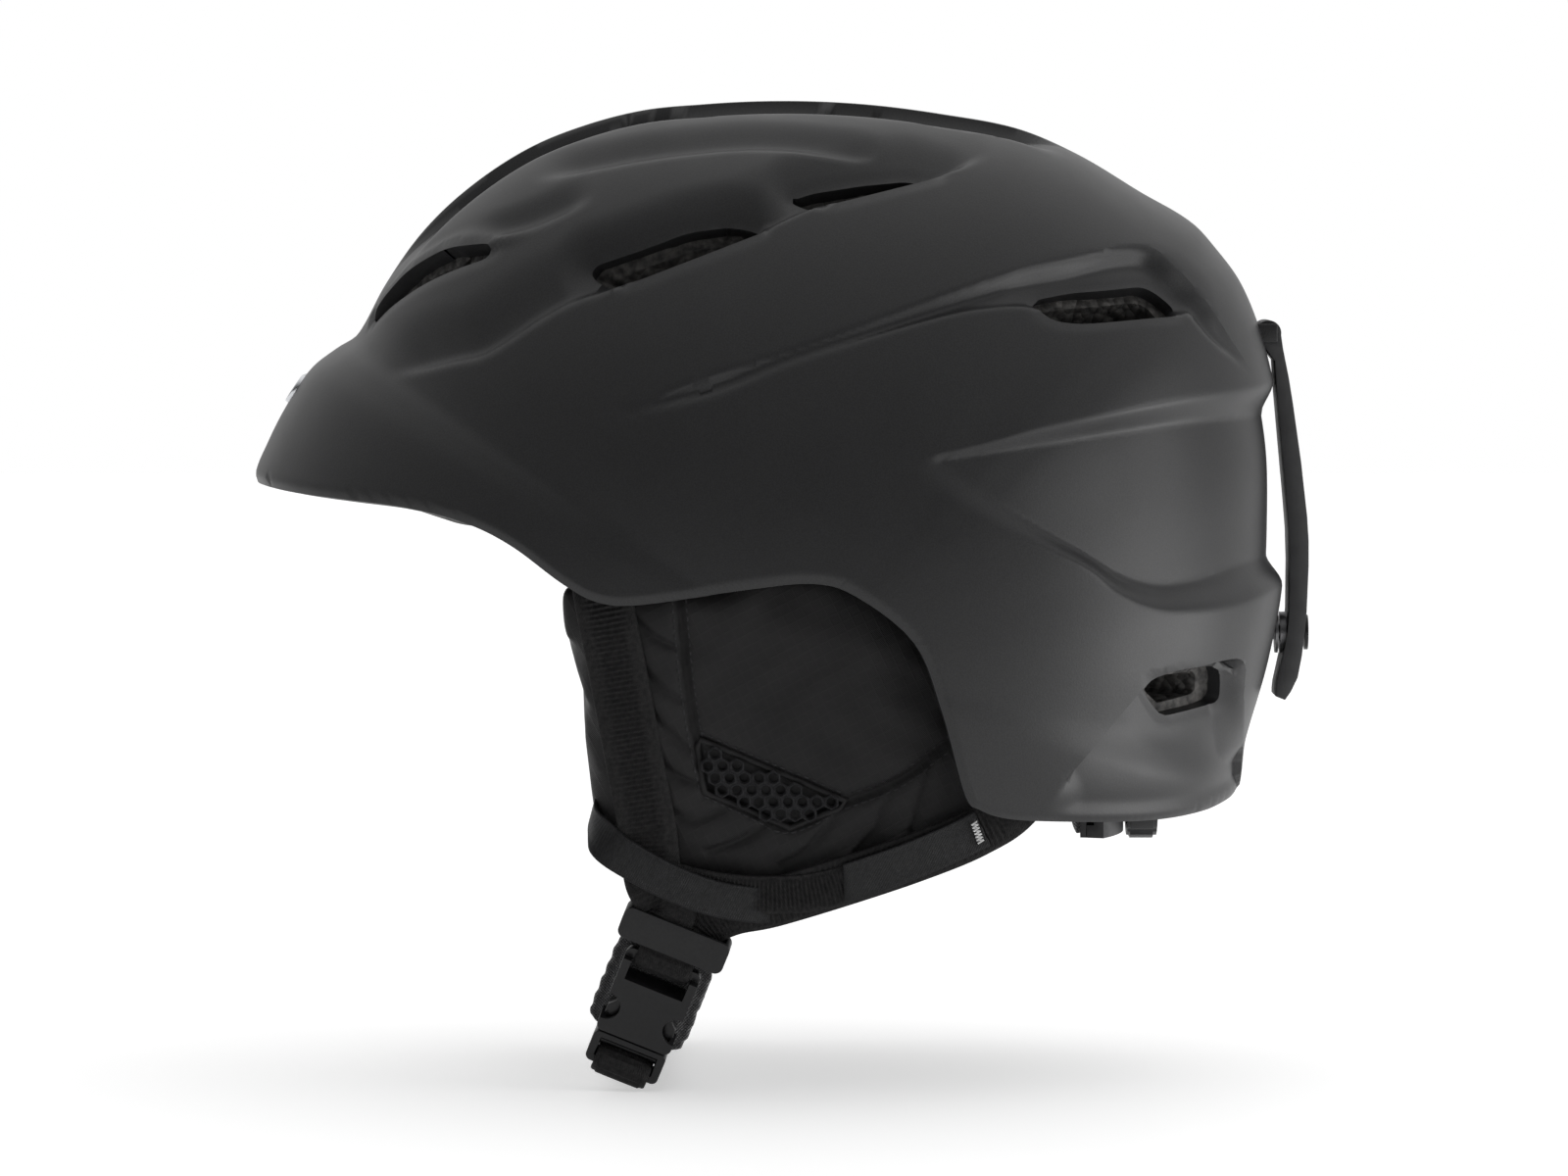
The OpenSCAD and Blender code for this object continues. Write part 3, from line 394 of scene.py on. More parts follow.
def outline_radius(a):
    """Radius of the side outline at angle a in degrees, where 0 is the back and 90 the crown."""
    i = np.clip(np.searchsorted(knots[:, 0], a, side="right") - 1, 1, len(knots) - 3)
    width = knots[i + 1, 0] - knots[i, 0]
    t = (a - knots[i, 0]) / width
    r0, r1 = knots[i, 1], knots[i + 1, 1]
    s0, s1 = knot_slopes[i] * width, knot_slopes[i + 1] * width
    return ((2 * t ** 3 - 3 * t ** 2 + 1) * r0 + (t ** 3 - 2 * t ** 2 + t) * s0
            + (3 * t ** 2 - 2 * t ** 3) * r1 + (t ** 3 - t ** 2) * s1)


def directions(angles):
    a, g = np.radians(angles[:, 0]), np.radians(angles[:, 1])
    return np.stack([np.sin(g), np.cos(g) * np.cos(a), np.cos(g) * np.sin(a)], 1)


def smooth_form(angles, inset=0.0):
    """Points of the plain shell at angles (round the side view, and across), inset millimetres in."""
    across = directions(angles)
    share = np.abs(across[:, 0])
    lengthwise = np.cos(np.radians(angles[:, 1]))
    radius = ((lengthwise / (outline_radius(angles[:, 0]) - inset)) ** SQUARENESS
              + (share / (HALF_WIDTH - inset)) ** SQUARENESS) ** (-1 / SQUARENESS)
    return across * radius[:, None] + [0, 0, CORE_Z]


def form_normals(angles):
    step = 0.2
    ahead = smooth_form(angles + [step, 0]) - smooth_form(angles - [step, 0])
    across = smooth_form(angles + [0, step]) - smooth_form(angles - [0, step])
    return unit(np.cross(ahead, across))


# ---------------------------------------------------------------- relief of the shell

# Crisp lines of the pressed relief, seen from the side as (y, z).
SHOULDER = catmull([(-118, 60), (-99, 65), (-88, 68), (-69, 80), (-50, 88), (-11, 103), (6, 110), (38, 118),
                    (52, 122)])
LEDGE = catmull([(28, 120), (11, 122), (-14, 124), (-39, 122), (-62, 118), (-79, 114)])[::-1]
HORN = catmull([(-94, 97.5), (-86, 99), (-72, 104), (-57, 111)])
SWOOSH_IN = catmull([(-46, 52.5), (-25, 58), (-6, 65.5), (11, 71), (35, 78), (48, 80.5), (62, 81), (74, 77),
                     (103, 79), (106, 78), (111, 72), (120, 64), (125, 59.5)])
SWOOSH_OUT = catmull([(-55, 53), (-44, 57), (-25, 64), (2, 73), (35, 85), (57, 92), (71, 95), (85, 98),
                      (95, 98), (103, 92), (110, 84), (117, 73), (126, 60)])
BACK = 145                    # past the shell's back, to close an outline
PANEL_OUT = np.vstack([
    catmull([(22, 41), (40, 43), (63, 49), (84, 53), (105, 57), (124, 59), (BACK, 61)]),
    catmull([(BACK, 2), (132, 1), (120, -2), (105, -3), (95, -2), (84, 3), (74, 11), (46, 24), (22, 41)])])
PANEL_IN = np.vstack([
    catmull([(36, 40), (63, 44), (84, 47), (105, 49), (126, 50), (BACK, 51)]),
    catmull([(BACK, 11), (126, 9), (113, 6), (102, 5), (95, 6), (87, 9), (77, 15), (63, 23), (49, 32),
             (36, 40)])])
SCOOP = catmull([(66, -53), (79, -38), (92, -23.5), (98, -20), (108, -18.2), (121, -17.5), (122, -28),
                 (123, -43)])
SCOOP_FOOT = [(122, -75), (55, -75)]

WALL = 3.4                    # width of the wall at each crisp line
# Ledges, as (line, depth, width of wall and climb together, fade at each end).
SIDE_LEDGES = [(SHOULDER, 2.6, 18, 14), (LEDGE, 2.4, 9.5, 18)]
BROW_LEDGE = (HORN, 1.9, 9.5, 12)
SIDE_START = 20               # the side relief starts this far from the middle
SWOOSH_DEPTH = 4.0
SWOOSH_FADE = 16              # over which the swoosh's front end deepens
LIP = 4.0                     # width of the swoosh's upper wall
STEP = 2.2                    # and of its lower one
PANEL_DEPTH = 5.2
PANEL_START, PANEL_RUN = 15, 75      # the panel deepens from this place over this length
SCOOP_DEPTH = 4.8
SCOOP_WALL = 1.7              # width of the rear scoop's wall
SCOOP_END_WALL = 5.5          # and of the wall at its back end
SCOOP_END = 0.74              # share of the scoop's line where its back end begins
SCOOP_FADE = 11               # over which the scoop deepens from its front foot
CHANNEL = (9.0, 31.0)         # from the crown rib's side to the channel's outer edge
CHANNEL_DEPTH = 4.6
CHANNEL_WALL = 2.6            # width of the wall at the rib
CHANNEL_FLAT = 21             # where the channel's floor begins to climb, across
CHANNEL_BACK = (62, 8)        # angle where the channels begin, and the turn over which they deepen
CHANNEL_FRONT = (126, 14)     # and the same where they end
VENT_DIP = (3.0, 2.6, 1.4, 0.6)      # depth of the dip along one edge of each side vent
DIP_WIDTH = 10
RIM_DIP, RIM_WIDTH = 0.6, 3   # the small dip all round each vent
BROW_RIM, BROW_RIM_WIDTH = 1.4, 7    # the raised rim over each brow vent
EDGE_ROUND, EDGE_WIDTH = 1.0, 2.0    # the rounding of the lower edge
VENT_RETURN = 2.6             # how far the shell turns in round a vent
EDGE_RETURN = 0.8             # and along its lower edge

# Side vents, as (y, z), each with the radius of its corners.
SIDE_VENTS = [
    ([(-62, 93), (-59, 90.5), (-50, 88), (-11, 103), (-15, 106), (-22, 107), (-34, 105), (-47, 100),
      (-60, 95.5)], 3.5),
    ([(-6, 114), (6, 110), (38, 118), (28, 120.5), (15, 119), (1, 116.5)], 2.5),
    ([(62, 83.5), (64, 85.5), (74, 88), (95, 90), (100, 87), (104, 83), (103, 79), (74, 77), (67, 78),
      (63, 81)], 3.5),
    ([(94, -22), (98, -29), (102, -33.5), (118.5, -31.5), (118.5, -20), (100, -20.5)], 2.5)]
BROW_VENT = [(25, 75), (31, 79), (46, 88), (59, 95), (57, 98.5), (45, 97), (33, 90), (26, 81)]   # as (x, z)
CROWN_VENTS = [(-56, -36), (2, 22)]  # front and back end of each
CROWN_VENT = (16.5, 4.5)      # middle and half width, across
NOWHERE = -99                 # distance to an opening that a point can't belong to


def rounded_outline(points, radius, steps=4):
    """A closed outline with each corner cut back by radius and rounded."""
    p = np.asarray(points, float)
    found = []
    for before, here, after in zip(np.roll(p, 1, 0), p, np.roll(p, -1, 0)):
        into, out = before - here, after - here
        back = min(radius, 0.45 * np.linalg.norm(into), 0.45 * np.linalg.norm(out))
        a, b = here + unit(into) * back, here + unit(out) * back
        for t in np.arange(steps + 1) / steps:
            found.append((1 - t) ** 2 * a + 2 * t * (1 - t) * here + t ** 2 * b)
    return np.array(found)


VENTS = [rounded_outline(corners, radius) for corners, radius in SIDE_VENTS]
BROW = rounded_outline(BROW_VENT, 3.0)


def side_view(points):
    return points[:, 1:3]


def ramp(at, line, depth, width, fade):
    """Depth of a ledge to the left of a line: a wall at the line, and from its foot a slow climb back."""
    gap, share, hand = to_line(at, line)
    length = run_of(line)[-1]
    ends = smooth(share * length / fade) * smooth((1 - share) * length / fade)
    foot = smooth(gap / WALL)
    climb = 1 - smooth((gap - WALL) / (width - WALL))
    return np.where(hand == 1, depth * foot * climb * ends, 0)


def trough(at, upper, lower, depth):
    """Depth between two lines: a wall under the upper, a floor that climbs, and a low wall at the lower."""
    down, up = to_line(at, upper)[0], to_line(at, lower)[0]
    full = np.minimum(depth, 0.55 * (down + up))
    floor = 1 - 0.62 * smooth(down / np.maximum(down + up, 1e-6))
    return full * floor * smooth(down / LIP) * smooth(up / STEP)


def side_opening(points, outline):
    return np.where(np.abs(points[:, 0]) > SIDE_START, in_polygon(side_view(points), outline), NOWHERE)


def brow_opening(points):
    front = np.stack([np.abs(points[:, 0]), points[:, 2]], 1)
    return np.where(points[:, 1] < -60, in_polygon(front, BROW), NOWHERE)


def crown_opening(points, low, high):
    middle, half = CROWN_VENT
    along = points[:, 1] - np.clip(points[:, 1], low + half, high - half)
    gap = np.hypot(np.abs(points[:, 0]) - middle, along)
    return np.where(points[:, 2] > 60, half - gap, NOWHERE)


# Each field is the signed distance to an opening, positive inside it.
OPENINGS = [partial(side_opening, outline=vent) for vent in VENTS] + [brow_opening]
OPENINGS += [partial(crown_opening, low=low, high=high) for low, high in CROWN_VENTS]


def vent_fields(points):
    return [field(points) for field in OPENINGS]


def relief(points, angles):
    """How far each point of the plain form is pressed in, in millimetres."""
    at = side_view(points)
    width = np.abs(points[:, 0])
    on_side = width > SIDE_START
    found = channels(width, angles[:, 0])
    for ledge in SIDE_LEDGES:
        found = np.maximum(found, np.where(on_side, ramp(at, *ledge), 0))
    found = np.maximum(found, np.where(points[:, 1] < 0, ramp(at, *BROW_LEDGE), 0))
    for part in (swoosh(at), rear_panel(at), rear_scoop(at, above_edge(points))):
        found = np.maximum(found, part)
    sides = side_of(at, SHOULDER), side_of(at, SHOULDER), side_of(at, SWOOSH_IN), -side_of(at, SCOOP)
    for field, side, dip in zip(vent_fields(points), sides, VENT_DIP):
        found = found + dip * smooth(1 + field / DIP_WIDTH) * smooth(side / 3)
    return found + RIM_DIP * smooth(1 + around_vents(points) / RIM_WIDTH)


def channels(width, turn):
    """Depth of the two channels beside the crown rib."""
    inner, outer = CHANNEL
    found = CHANNEL_DEPTH * smooth((width - inner) / CHANNEL_WALL)
    found *= 1 - smooth((width - CHANNEL_FLAT) / (outer - CHANNEL_FLAT))
    (begin, deepen), (end, fade) = CHANNEL_BACK, CHANNEL_FRONT
    return found * smooth((turn - begin) / deepen) * (1 - smooth((turn - end) / fade))


def swoosh(at):
    inside = in_polygon(at, np.vstack([SWOOSH_OUT, SWOOSH_IN[::-1]])) > 0
    begun = smooth((at[:, 0] - SWOOSH_OUT[0, 0]) / SWOOSH_FADE)
    return np.where(inside, begun * trough(at, SWOOSH_OUT, SWOOSH_IN, SWOOSH_DEPTH), 0)


def rear_panel(at):
    """Depth of the rear panel: flat inside its inner outline, and a slope out to the outer one."""
    out_gap, in_gap = in_polygon(at, PANEL_OUT), in_polygon(at, PANEL_IN)
    bottom = PANEL_DEPTH * smooth((at[:, 0] - PANEL_START) / PANEL_RUN)
    slope = np.clip(out_gap / np.maximum(out_gap - in_gap, 1e-6), 0, 1)
    return np.where(out_gap > 0, bottom * np.where(in_gap > 0, 1, smooth(slope)), 0)


def rear_scoop(at, raised):
    """Depth of the scoop round the lowest vent, which runs out towards the shell's edge."""
    inside = in_polygon(at, np.vstack([SCOOP, SCOOP_FOOT])) > 0
    gap, share, _ = to_line(at, SCOOP)
    wall = np.clip(gap / np.where(share > SCOOP_END, SCOOP_END_WALL, SCOOP_WALL), 0, 1)
    deep = smooth(raised / 6) * (0.45 + 0.55 * smooth((raised - 4) / 24))
    deep *= smooth(to_line(at, np.array([SCOOP[0], SCOOP_FOOT[-1]]))[0] / SCOOP_FADE)
    return np.where(inside, SCOOP_DEPTH * wall * deep, 0)


def side_of(at, line):
    """Distance to the left of a line, and negative to its right."""
    gap, _, hand = to_line(at, line)
    return gap * hand


def brow_rim(points):
    """Height of the raised rim over the brow vents, above a line that leans with them."""
    over = points[:, 2] - 80 - 0.62 * (np.abs(points[:, 0]) - 32)
    return BROW_RIM * smooth(1 + brow_opening(points) / BROW_RIM_WIDTH) * smooth(over / 4)


# ---------------------------------------------------------------- skins cut along lines

def above_edge(points, inset=0.0):
    """Distance above the shell's lower edge in the side view, less inset."""
    gap, _, hand = to_line(side_view(points), EDGE_LINE, reach=400)
    return gap * hand - inset


def snap_to(angles, edges, field, locked, reach=5.0):
    """Moves the nearer end of each edge that crosses a field's zero line onto it, so no edge crosses it."""
    for limit in (0.2, 0.35, 1.0):
        value = field(smooth_form(angles))
        value[np.abs(value) < 1e-3] = 0
        i, j = edges.T
        crossing = (value[i] * value[j] < 0) & (np.abs(value[i]) < reach) & (np.abs(value[j]) < reach)
        i, j = i[crossing], j[crossing]
        t = value[i] / (value[i] - value[j])
        near = np.where(t < 0.5, i, j)
        far = np.where(t < 0.5, j, i)
        near = np.where(locked[near], far, near)
        place = angles[i] + t[:, None] * (angles[j] - angles[i])
        move = np.where(near == i, t, 1 - t)
        order = np.argsort(-move)
        order = order[~locked[near[order]] & (move[order] < limit)]
        angles[near[order]] = place[order]
        locked[near[order]] = True


def grid(rounds, acrosses):
    """Grid of angles, and its triangles."""
    a, g = np.meshgrid(rounds, acrosses, indexing="ij")
    angles = np.stack([a.ravel(), g.ravel()], 1)
    rows, cols = len(rounds), len(acrosses)
    k = (np.arange(rows - 1)[:, None] * cols + np.arange(cols - 1)).ravel()
    first = np.stack([k, k + cols + 1, k + 1], 1)
    second = np.stack([k, k + cols, k + cols + 1], 1)
    left = angles[k, 1] < 0
    first[left] = np.stack([k, k + cols, k + 1], 1)[left]
    second[left] = np.stack([k + 1, k + cols, k + cols + 1], 1)[left]
    return angles, np.vstack([first, second])


def directed_edges(faces):
    return np.vstack([faces[:, [0, 1]], faces[:, [1, 2]], faces[:, [2, 0]]])


def edges_of(faces):
    return np.unique(np.sort(directed_edges(faces), axis=1), axis=0)


def border(faces):
    """Directed edges that only one triangle has."""
    pairs = directed_edges(faces)
    _, index, count = np.unique(np.sort(pairs, axis=1), axis=0, return_index=True, return_counts=True)
    return pairs[index[count == 1]]


def beside(points, line, offset=0.0):
    """Field whose zero lies offset to the left of a line of the side view, and nothing past its ends."""
    gap, share, hand = to_line(side_view(points), line)
    return np.where((share > 0.01) & (share < 0.99), gap * hand - offset, -NOWHERE)


def beside_rib(points, half):
    """Field whose zero lines run along the crown, half to each side."""
    return np.where(points[:, 2] > 95, np.abs(points[:, 0]) - half, -NOWHERE)


def outlined(points, outline):
    return in_polygon(side_view(points), outline)


def outside(points, field, spare=0.0):
    return -field(points) + spare


def skin(name, rounds, acrosses, lines, cuts, outer, inner, crease):
    """A closed wall between two offset surfaces, cut away where any of the cuts is negative."""
    angles, faces = grid(rounds, acrosses)
    edges = edges_of(faces)
    locked = np.zeros(len(angles), bool)
    for field in cuts + lines:
        snap_to(angles, edges, field, locked)
    centres = smooth_form(angles[faces].mean(1))
    keep = np.ones(len(faces), bool)
    for field in cuts:
        keep &= field(centres) > 0
    faces = faces[keep]
    used, faces = np.unique(faces, return_inverse=True)
    faces = faces.reshape(-1, 3)
    angles = angles[used]
    count = len(angles)
    rim = border(faces)
    walls = [(b, a, a + count, b + count) for a, b in rim.tolist()]
    points = np.vstack([outer(angles), inner(angles)])
    solid = faces.tolist() + (faces[:, ::-1] + count).tolist() + walls
    return new_object(name, points, solid, crease)


def around_vents(points):
    return np.max(vent_fields(points), axis=0)


def shell_outside(angles):
    points = smooth_form(angles)
    rounding = EDGE_ROUND * np.clip(1 - above_edge(points) / EDGE_WIDTH, 0, 1)
    press = relief(points, angles) + rounding - brow_rim(points)
    return points - press[:, None] * form_normals(angles)


def shell_inside(angles):
    points = smooth_form(angles)
    press = relief(points, angles)
    rims = np.max(vent_fields(points)[:-len(CROWN_VENTS)], axis=0)   # the shutter slides under the others
    deeper = VENT_RETURN * smooth(1 + rims / 4) + EDGE_RETURN * smooth(1 - above_edge(points) / 5)
    return points - (press + SHELL_WALL + deeper)[:, None] * form_normals(angles)


def make_shell():
    rounds = np.linspace(*SHELL_ROUND, 400)
    acrosses = np.linspace(-SHELL_ACROSS, SHELL_ACROSS, 291)
    cuts = [above_edge] + [partial(outside, field=field) for field in OPENINGS]
    lines = [partial(beside, line=line) for line in (SWOOSH_OUT, SCOOP)]
    lines += [partial(beside, line=SCOOP, offset=-SCOOP_WALL), partial(outlined, outline=PANEL_IN)]
    lines += [partial(beside_rib, half=half) for half in CHANNEL]
    shell = skin("shell", rounds, acrosses, lines, cuts, shell_outside, shell_inside, 58)
    finish_piece(shell, "helmet", "shell", satin_shell(), "outer_shell")


# ---------------------------------------------------------------- foam liner

CAVITY = np.array([84.0, 105.5, 110.5])      # half sizes of the head room
FOAM_GAP = 2.6                # from the shell's outer face to the foam
FOAM_DIP = 1.3                # how much deeper the foam lies round a vent
FOAM_SPARE = 2.4              # how much wider its vents are than the shell's
FOAM_INSET = 7                # of the foam's edge above the shell's edge
FOAM_ROUND = (-46, 166)       # angles round the side view
FOAM_ACROSS = 84              # and across, to each side


def cavity(angles):
    """Points on the wall of the head room: half an ellipsoid, and straight down below it."""
    way = directions(angles)
    squares = (way / CAVITY) ** 2
    a = squares.sum(1)
    b = 2 * CORE_Z * way[:, 2] / CAVITY[2] ** 2
    c = (CORE_Z / CAVITY[2]) ** 2 - 1
    dome = (-b + np.sqrt(b * b - 4 * a * c)) / (2 * a)
    wall = 1 / np.sqrt(np.maximum(squares[:, 0] + squares[:, 1], 1e-9))
    reach = np.where(CORE_Z + dome * way[:, 2] > 0, dome, wall)
    return way * reach[:, None] + [0, 0, CORE_Z]


def foam_outside(angles):
    points = smooth_form(angles)
    press = relief(points, angles) + FOAM_GAP + FOAM_DIP * smooth(1 + around_vents(points) / 5)
    return points - press[:, None] * form_normals(angles)


def make_foam():
    rounds = np.linspace(*FOAM_ROUND, 150)
    acrosses = FOAM_ACROSS * np.linspace(-1, 1, 121)
    cuts = [partial(above_edge, inset=FOAM_INSET)]
    cuts += [partial(outside, field=field, spare=FOAM_SPARE) for field in OPENINGS]
    foam = skin("foam_liner", rounds, acrosses, [], cuts, foam_outside, cavity, 40)
    finish_piece(foam, "helmet", "eps", bead_foam(), "eps_liner")


# ---------------------------------------------------------------- fabrics

def weave(nodes, pitch, depth, after=None):
    """Bump of a plain weave, over an earlier bump if after is given."""
    warp, weft = (nodes.math("SINE", nodes.axis(way, pitch)) for way in ((0, 1, 0), (0, 0, 1)))
    return nodes.bump(nodes.math("MULTIPLY", warp, weft), depth, after)


def ripstop(pitch=5.6):
    """Light nylon with a grid of thicker threads, half a pitch apart, and soft crumples."""
    material, nodes = make_material("ripstop", (0.011, 0.011, 0.012), 0.5, Specular_IOR_Level=0.2)
    crumple = nodes.bump(nodes.noise(48, 4), 1.6)
    threads = []
    for direction in ((-0.08, 0.9, 0.44), (-0.2, -0.44, 0.88)):
        wave = nodes.math("ABSOLUTE", nodes.math("SINE", nodes.axis(direction, pitch)))
        threads.append(nodes.math("POWER", wave, 30))
    grid_lines = nodes.math("MAXIMUM", *threads)
    weave(nodes, 0.6, 0.04, nodes.bump(grid_lines, 0.06, crumple))
    blotches = nodes.math("MULTIPLY", nodes.noise(30, 3), 0.6)
    shade = nodes.math("ADD", nodes.math("MULTIPLY", grid_lines, 0.12), blotches)
    nodes.colours(shade, (0.006, 0.006, 0.0065), (0.02, 0.019, 0.019), 0.1, 0.9)
    nodes.rough(nodes.noise(90, 3), 0.42, 0.6)
    return material


def brushed_knit(name, dark, light, pitch=0.9):
    """Brushed lining fabric: short pile over a fine knit."""
    material, nodes = make_material(name, dark, 0.9, Sheen_Weight=0.5, Sheen_Roughness=0.5)
    nodes.colours(nodes.noise(650, 4), dark, light, 0.3, 0.75)
    knit = weave(nodes, pitch, 0.12)
    nodes.bump(nodes.noise(1400, 3), 0.25, knit)
    return material


def webbing_cloth(name, dark, light, rough=0.62):
    """Woven nylon tape: the ribs are in the mesh, and the threads in the bump."""
    material, nodes = make_material(name, dark, rough, Specular_IOR_Level=0.15)
    nodes.colours(nodes.noise(900, 3), dark, light, 0.3, 0.8)
    threads = nodes.math("SINE", nodes.axis((0.2, 1, 0.3), 0.42))
    first = nodes.bump(threads, 0.06)
    nodes.bump(nodes.noise(1700, 2), 0.05, first)
    nodes.rough(nodes.noise(300, 2), rough - 0.08, rough + 0.08)
    return material


def rubber():
    material, nodes = make_material("rubber", (0.013, 0.013, 0.014), 0.5)
    nodes.colours(nodes.noise(180, 3), (0.011, 0.011, 0.012), (0.021, 0.021, 0.022), 0.3, 0.7)
    nodes.rough(nodes.noise(120, 3), 0.42, 0.58)
    nodes.bump(nodes.noise(1500, 2), 0.03)
    return material


# ---------------------------------------------------------------- mesh tools

def set_points(obj, points):
    obj.data.vertices.foreach_set("co", (np.asarray(points) * MM).astype(np.float32).ravel())
    obj.data.polygons.foreach_set("use_smooth", [True] * len(obj.data.polygons))
    obj.data.update()


def points_of(obj):
    co = np.zeros(len(obj.data.vertices) * 3, np.float32)
    obj.data.vertices.foreach_get("co", co)
    return co.reshape(-1, 3).astype(float) / MM


def normals_of(obj):
    found = np.zeros(len(obj.data.vertices) * 3, np.float32)
    obj.data.vertex_normals.foreach_get("vector", found)
    return found.reshape(-1, 3).astype(float)


def edit_mesh(mesh, operation):
    """Runs a function of a bmesh on a mesh."""
    work = bmesh.new()
    work.from_mesh(mesh)
    operation(work)
    work.to_mesh(mesh)
    work.free()


def join_points(work, within):
    bmesh.ops.remove_doubles(work, verts=work.verts, dist=within * MM)


def tidy_normals(obj):
    edit_mesh(obj.data, lambda work: bmesh.ops.recalc_face_normals(work, faces=work.faces))


def apply_modifiers(obj):
    """Keeps the modified mesh, and drops the modifiers."""
    seen = obj.evaluated_get(bpy.context.evaluated_depsgraph_get())
    mesh = bpy.data.meshes.new_from_object(seen)
    mesh.materials.clear()
    for material in obj.data.materials:
        mesh.materials.append(material)
    obj.modifiers.clear()
    obj.data = mesh


def remesh(obj, voxel):
    modifier = obj.modifiers.new("remesh", "REMESH")
    modifier.mode = "VOXEL"
    modifier.voxel_size = voxel * MM
    apply_modifiers(obj)


def subdivide(obj, levels):
    modifier = obj.modifiers.new("smooth", "SUBSURF")
    modifier.levels = levels
    modifier.render_levels = levels
    apply_modifiers(obj)


def inflate(obj, cap, pressure=4.0, frames=20):
    """Swells a closed fabric piece by cloth simulation. No point moves further than cap millimetres."""
    rest = points_of(obj)
    modifier = obj.modifiers.new("cloth", "CLOTH")
    settings = modifier.settings
    settings.use_pressure = True
    settings.uniform_pressure_force = pressure
    settings.effector_weights.gravity = 0
    modifier.point_cache.frame_start = 1
    modifier.point_cache.frame_end = frames
    for frame_number in range(1, frames + 1):
        scene.frame_set(frame_number)
    apply_modifiers(obj)
    scene.frame_set(1)
    move = points_of(obj) - rest
    size = np.linalg.norm(move, axis=1, keepdims=True)
    set_points(obj, rest + move * np.minimum(1, cap / np.maximum(size, 1e-9)))


def finish_piece(obj, body, slot, material, *replaced):
    obj.data.materials.clear()
    obj.data.materials.append(material)
    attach(obj, body)
    if replaced:
        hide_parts(*replaced)


def round_edges(work, width):
    join_points(work, 0.002)
    bmesh.ops.dissolve_limit(work, angle_limit=math.radians(2), verts=work.verts, edges=work.edges)
    sharp = [e for e in work.edges if len(e.link_faces) == 2 and e.calc_face_angle(0) > math.radians(38)]
    bmesh.ops.bevel(work, geom=sharp, offset=width * MM, segments=2, profile=0.5,
                    affect="EDGES", clamp_overlap=True)
    bmesh.ops.triangulate(work, faces=work.faces)


def softened(node, name, body, slot, material, width):
    """A copy of a CAD solid with its sharp edges rounded."""
    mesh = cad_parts[node].data.copy()
    edit_mesh(mesh, partial(round_edges, width=width))
    mesh.name = name
    finish_piece(shaded(name, mesh, 40), body, slot, material, node)


def mirror_x(points):
    return np.asarray(points) * [-1, 1, 1]


def patch(name, at, rows, cols, channels, body, material, replaced, mirror=False):
    """A thin cushion on a curved seat. at(u, v, t) gives its place, t from the seat to its full height."""
    u, v = np.meshgrid(np.linspace(0, 1, rows), np.linspace(0, 1, cols), indexing="ij")
    u, v = u.ravel(), v.ravel()
    points = np.vstack([at(u, v, np.zeros_like(u)), at(u, v, crowned(u, v, channels))])
    count = rows * cols
    quads = []
    for i in range(rows - 1):
        for j in range(cols - 1):
            k = i * cols + j
            quads.append((k, k + 1, k + cols + 1, k + cols))
    faces = quads + [tuple(count + k for k in reversed(q)) for q in quads]
    ring = [(i, 0) for i in range(rows)] + [(rows - 1, j) for j in range(1, cols)]
    ring += [(i, cols - 1) for i in range(rows - 2, -1, -1)] + [(0, j) for j in range(cols - 2, 0, -1)]
    ring = [i * cols + j for i, j in ring]
    faces += [(b, a, a + count, b + count) for a, b in zip(ring, ring[1:] + ring[:1])]
    if mirror:
        faces += [tuple(2 * count + k for k in reversed(f)) for f in faces]
        points = np.vstack([points, mirror_x(points)])
    obj = new_object(name, points, faces, 50)
    tidy_normals(obj)
    finish_piece(obj, body, "comfort_fabric", material, replaced)


def crowned(u, v, channels):
    """Height of a cushion: full in the middle, rolled off at the edges, with sewn channels across."""
    edge = (1 - np.abs(2 * u - 1) ** 5) * (1 - np.abs(2 * v - 1) ** 5)
    height = 0.12 + 0.88 * np.sqrt(np.clip(edge, 0, 1))
    for i in range(1, channels + 1):
        height *= 1 - 0.35 * np.exp(-((u - i / (channels + 1)) / 0.012) ** 2)
    return height


PAD_SEAT = 0.9                # from the foam to the pads' backs
PAD_WALL = 6.6


def on_cap(u, v, t, a, b):
    """A patch of the head room over the crown, between angles a round it and b across it."""
    p, q = np.radians(a[0] + (a[1] - a[0]) * u), np.radians(b[0] + (b[1] - b[0]) * v)
    axes = CAVITY[None, :] - (PAD_SEAT + PAD_WALL * t)[:, None]
    return axes * np.stack([np.sin(q), np.cos(q) * np.cos(p), np.cos(q) * np.sin(p)], 1)


def on_ring(u, v, t, a, z):
    """A patch of the head room round the head, between bearings a from the back and heights z."""
    p, h = np.radians(a[0] + (a[1] - a[0]) * u), z[0] + (z[1] - z[0]) * v
    depth = PAD_SEAT + PAD_WALL * t
    s = np.sqrt(1 - (h / (CAVITY[2] - depth)) ** 2)
    return np.stack([(CAVITY[0] - depth) * s * np.sin(p), (CAVITY[1] - depth) * s * np.cos(p), h], 1)


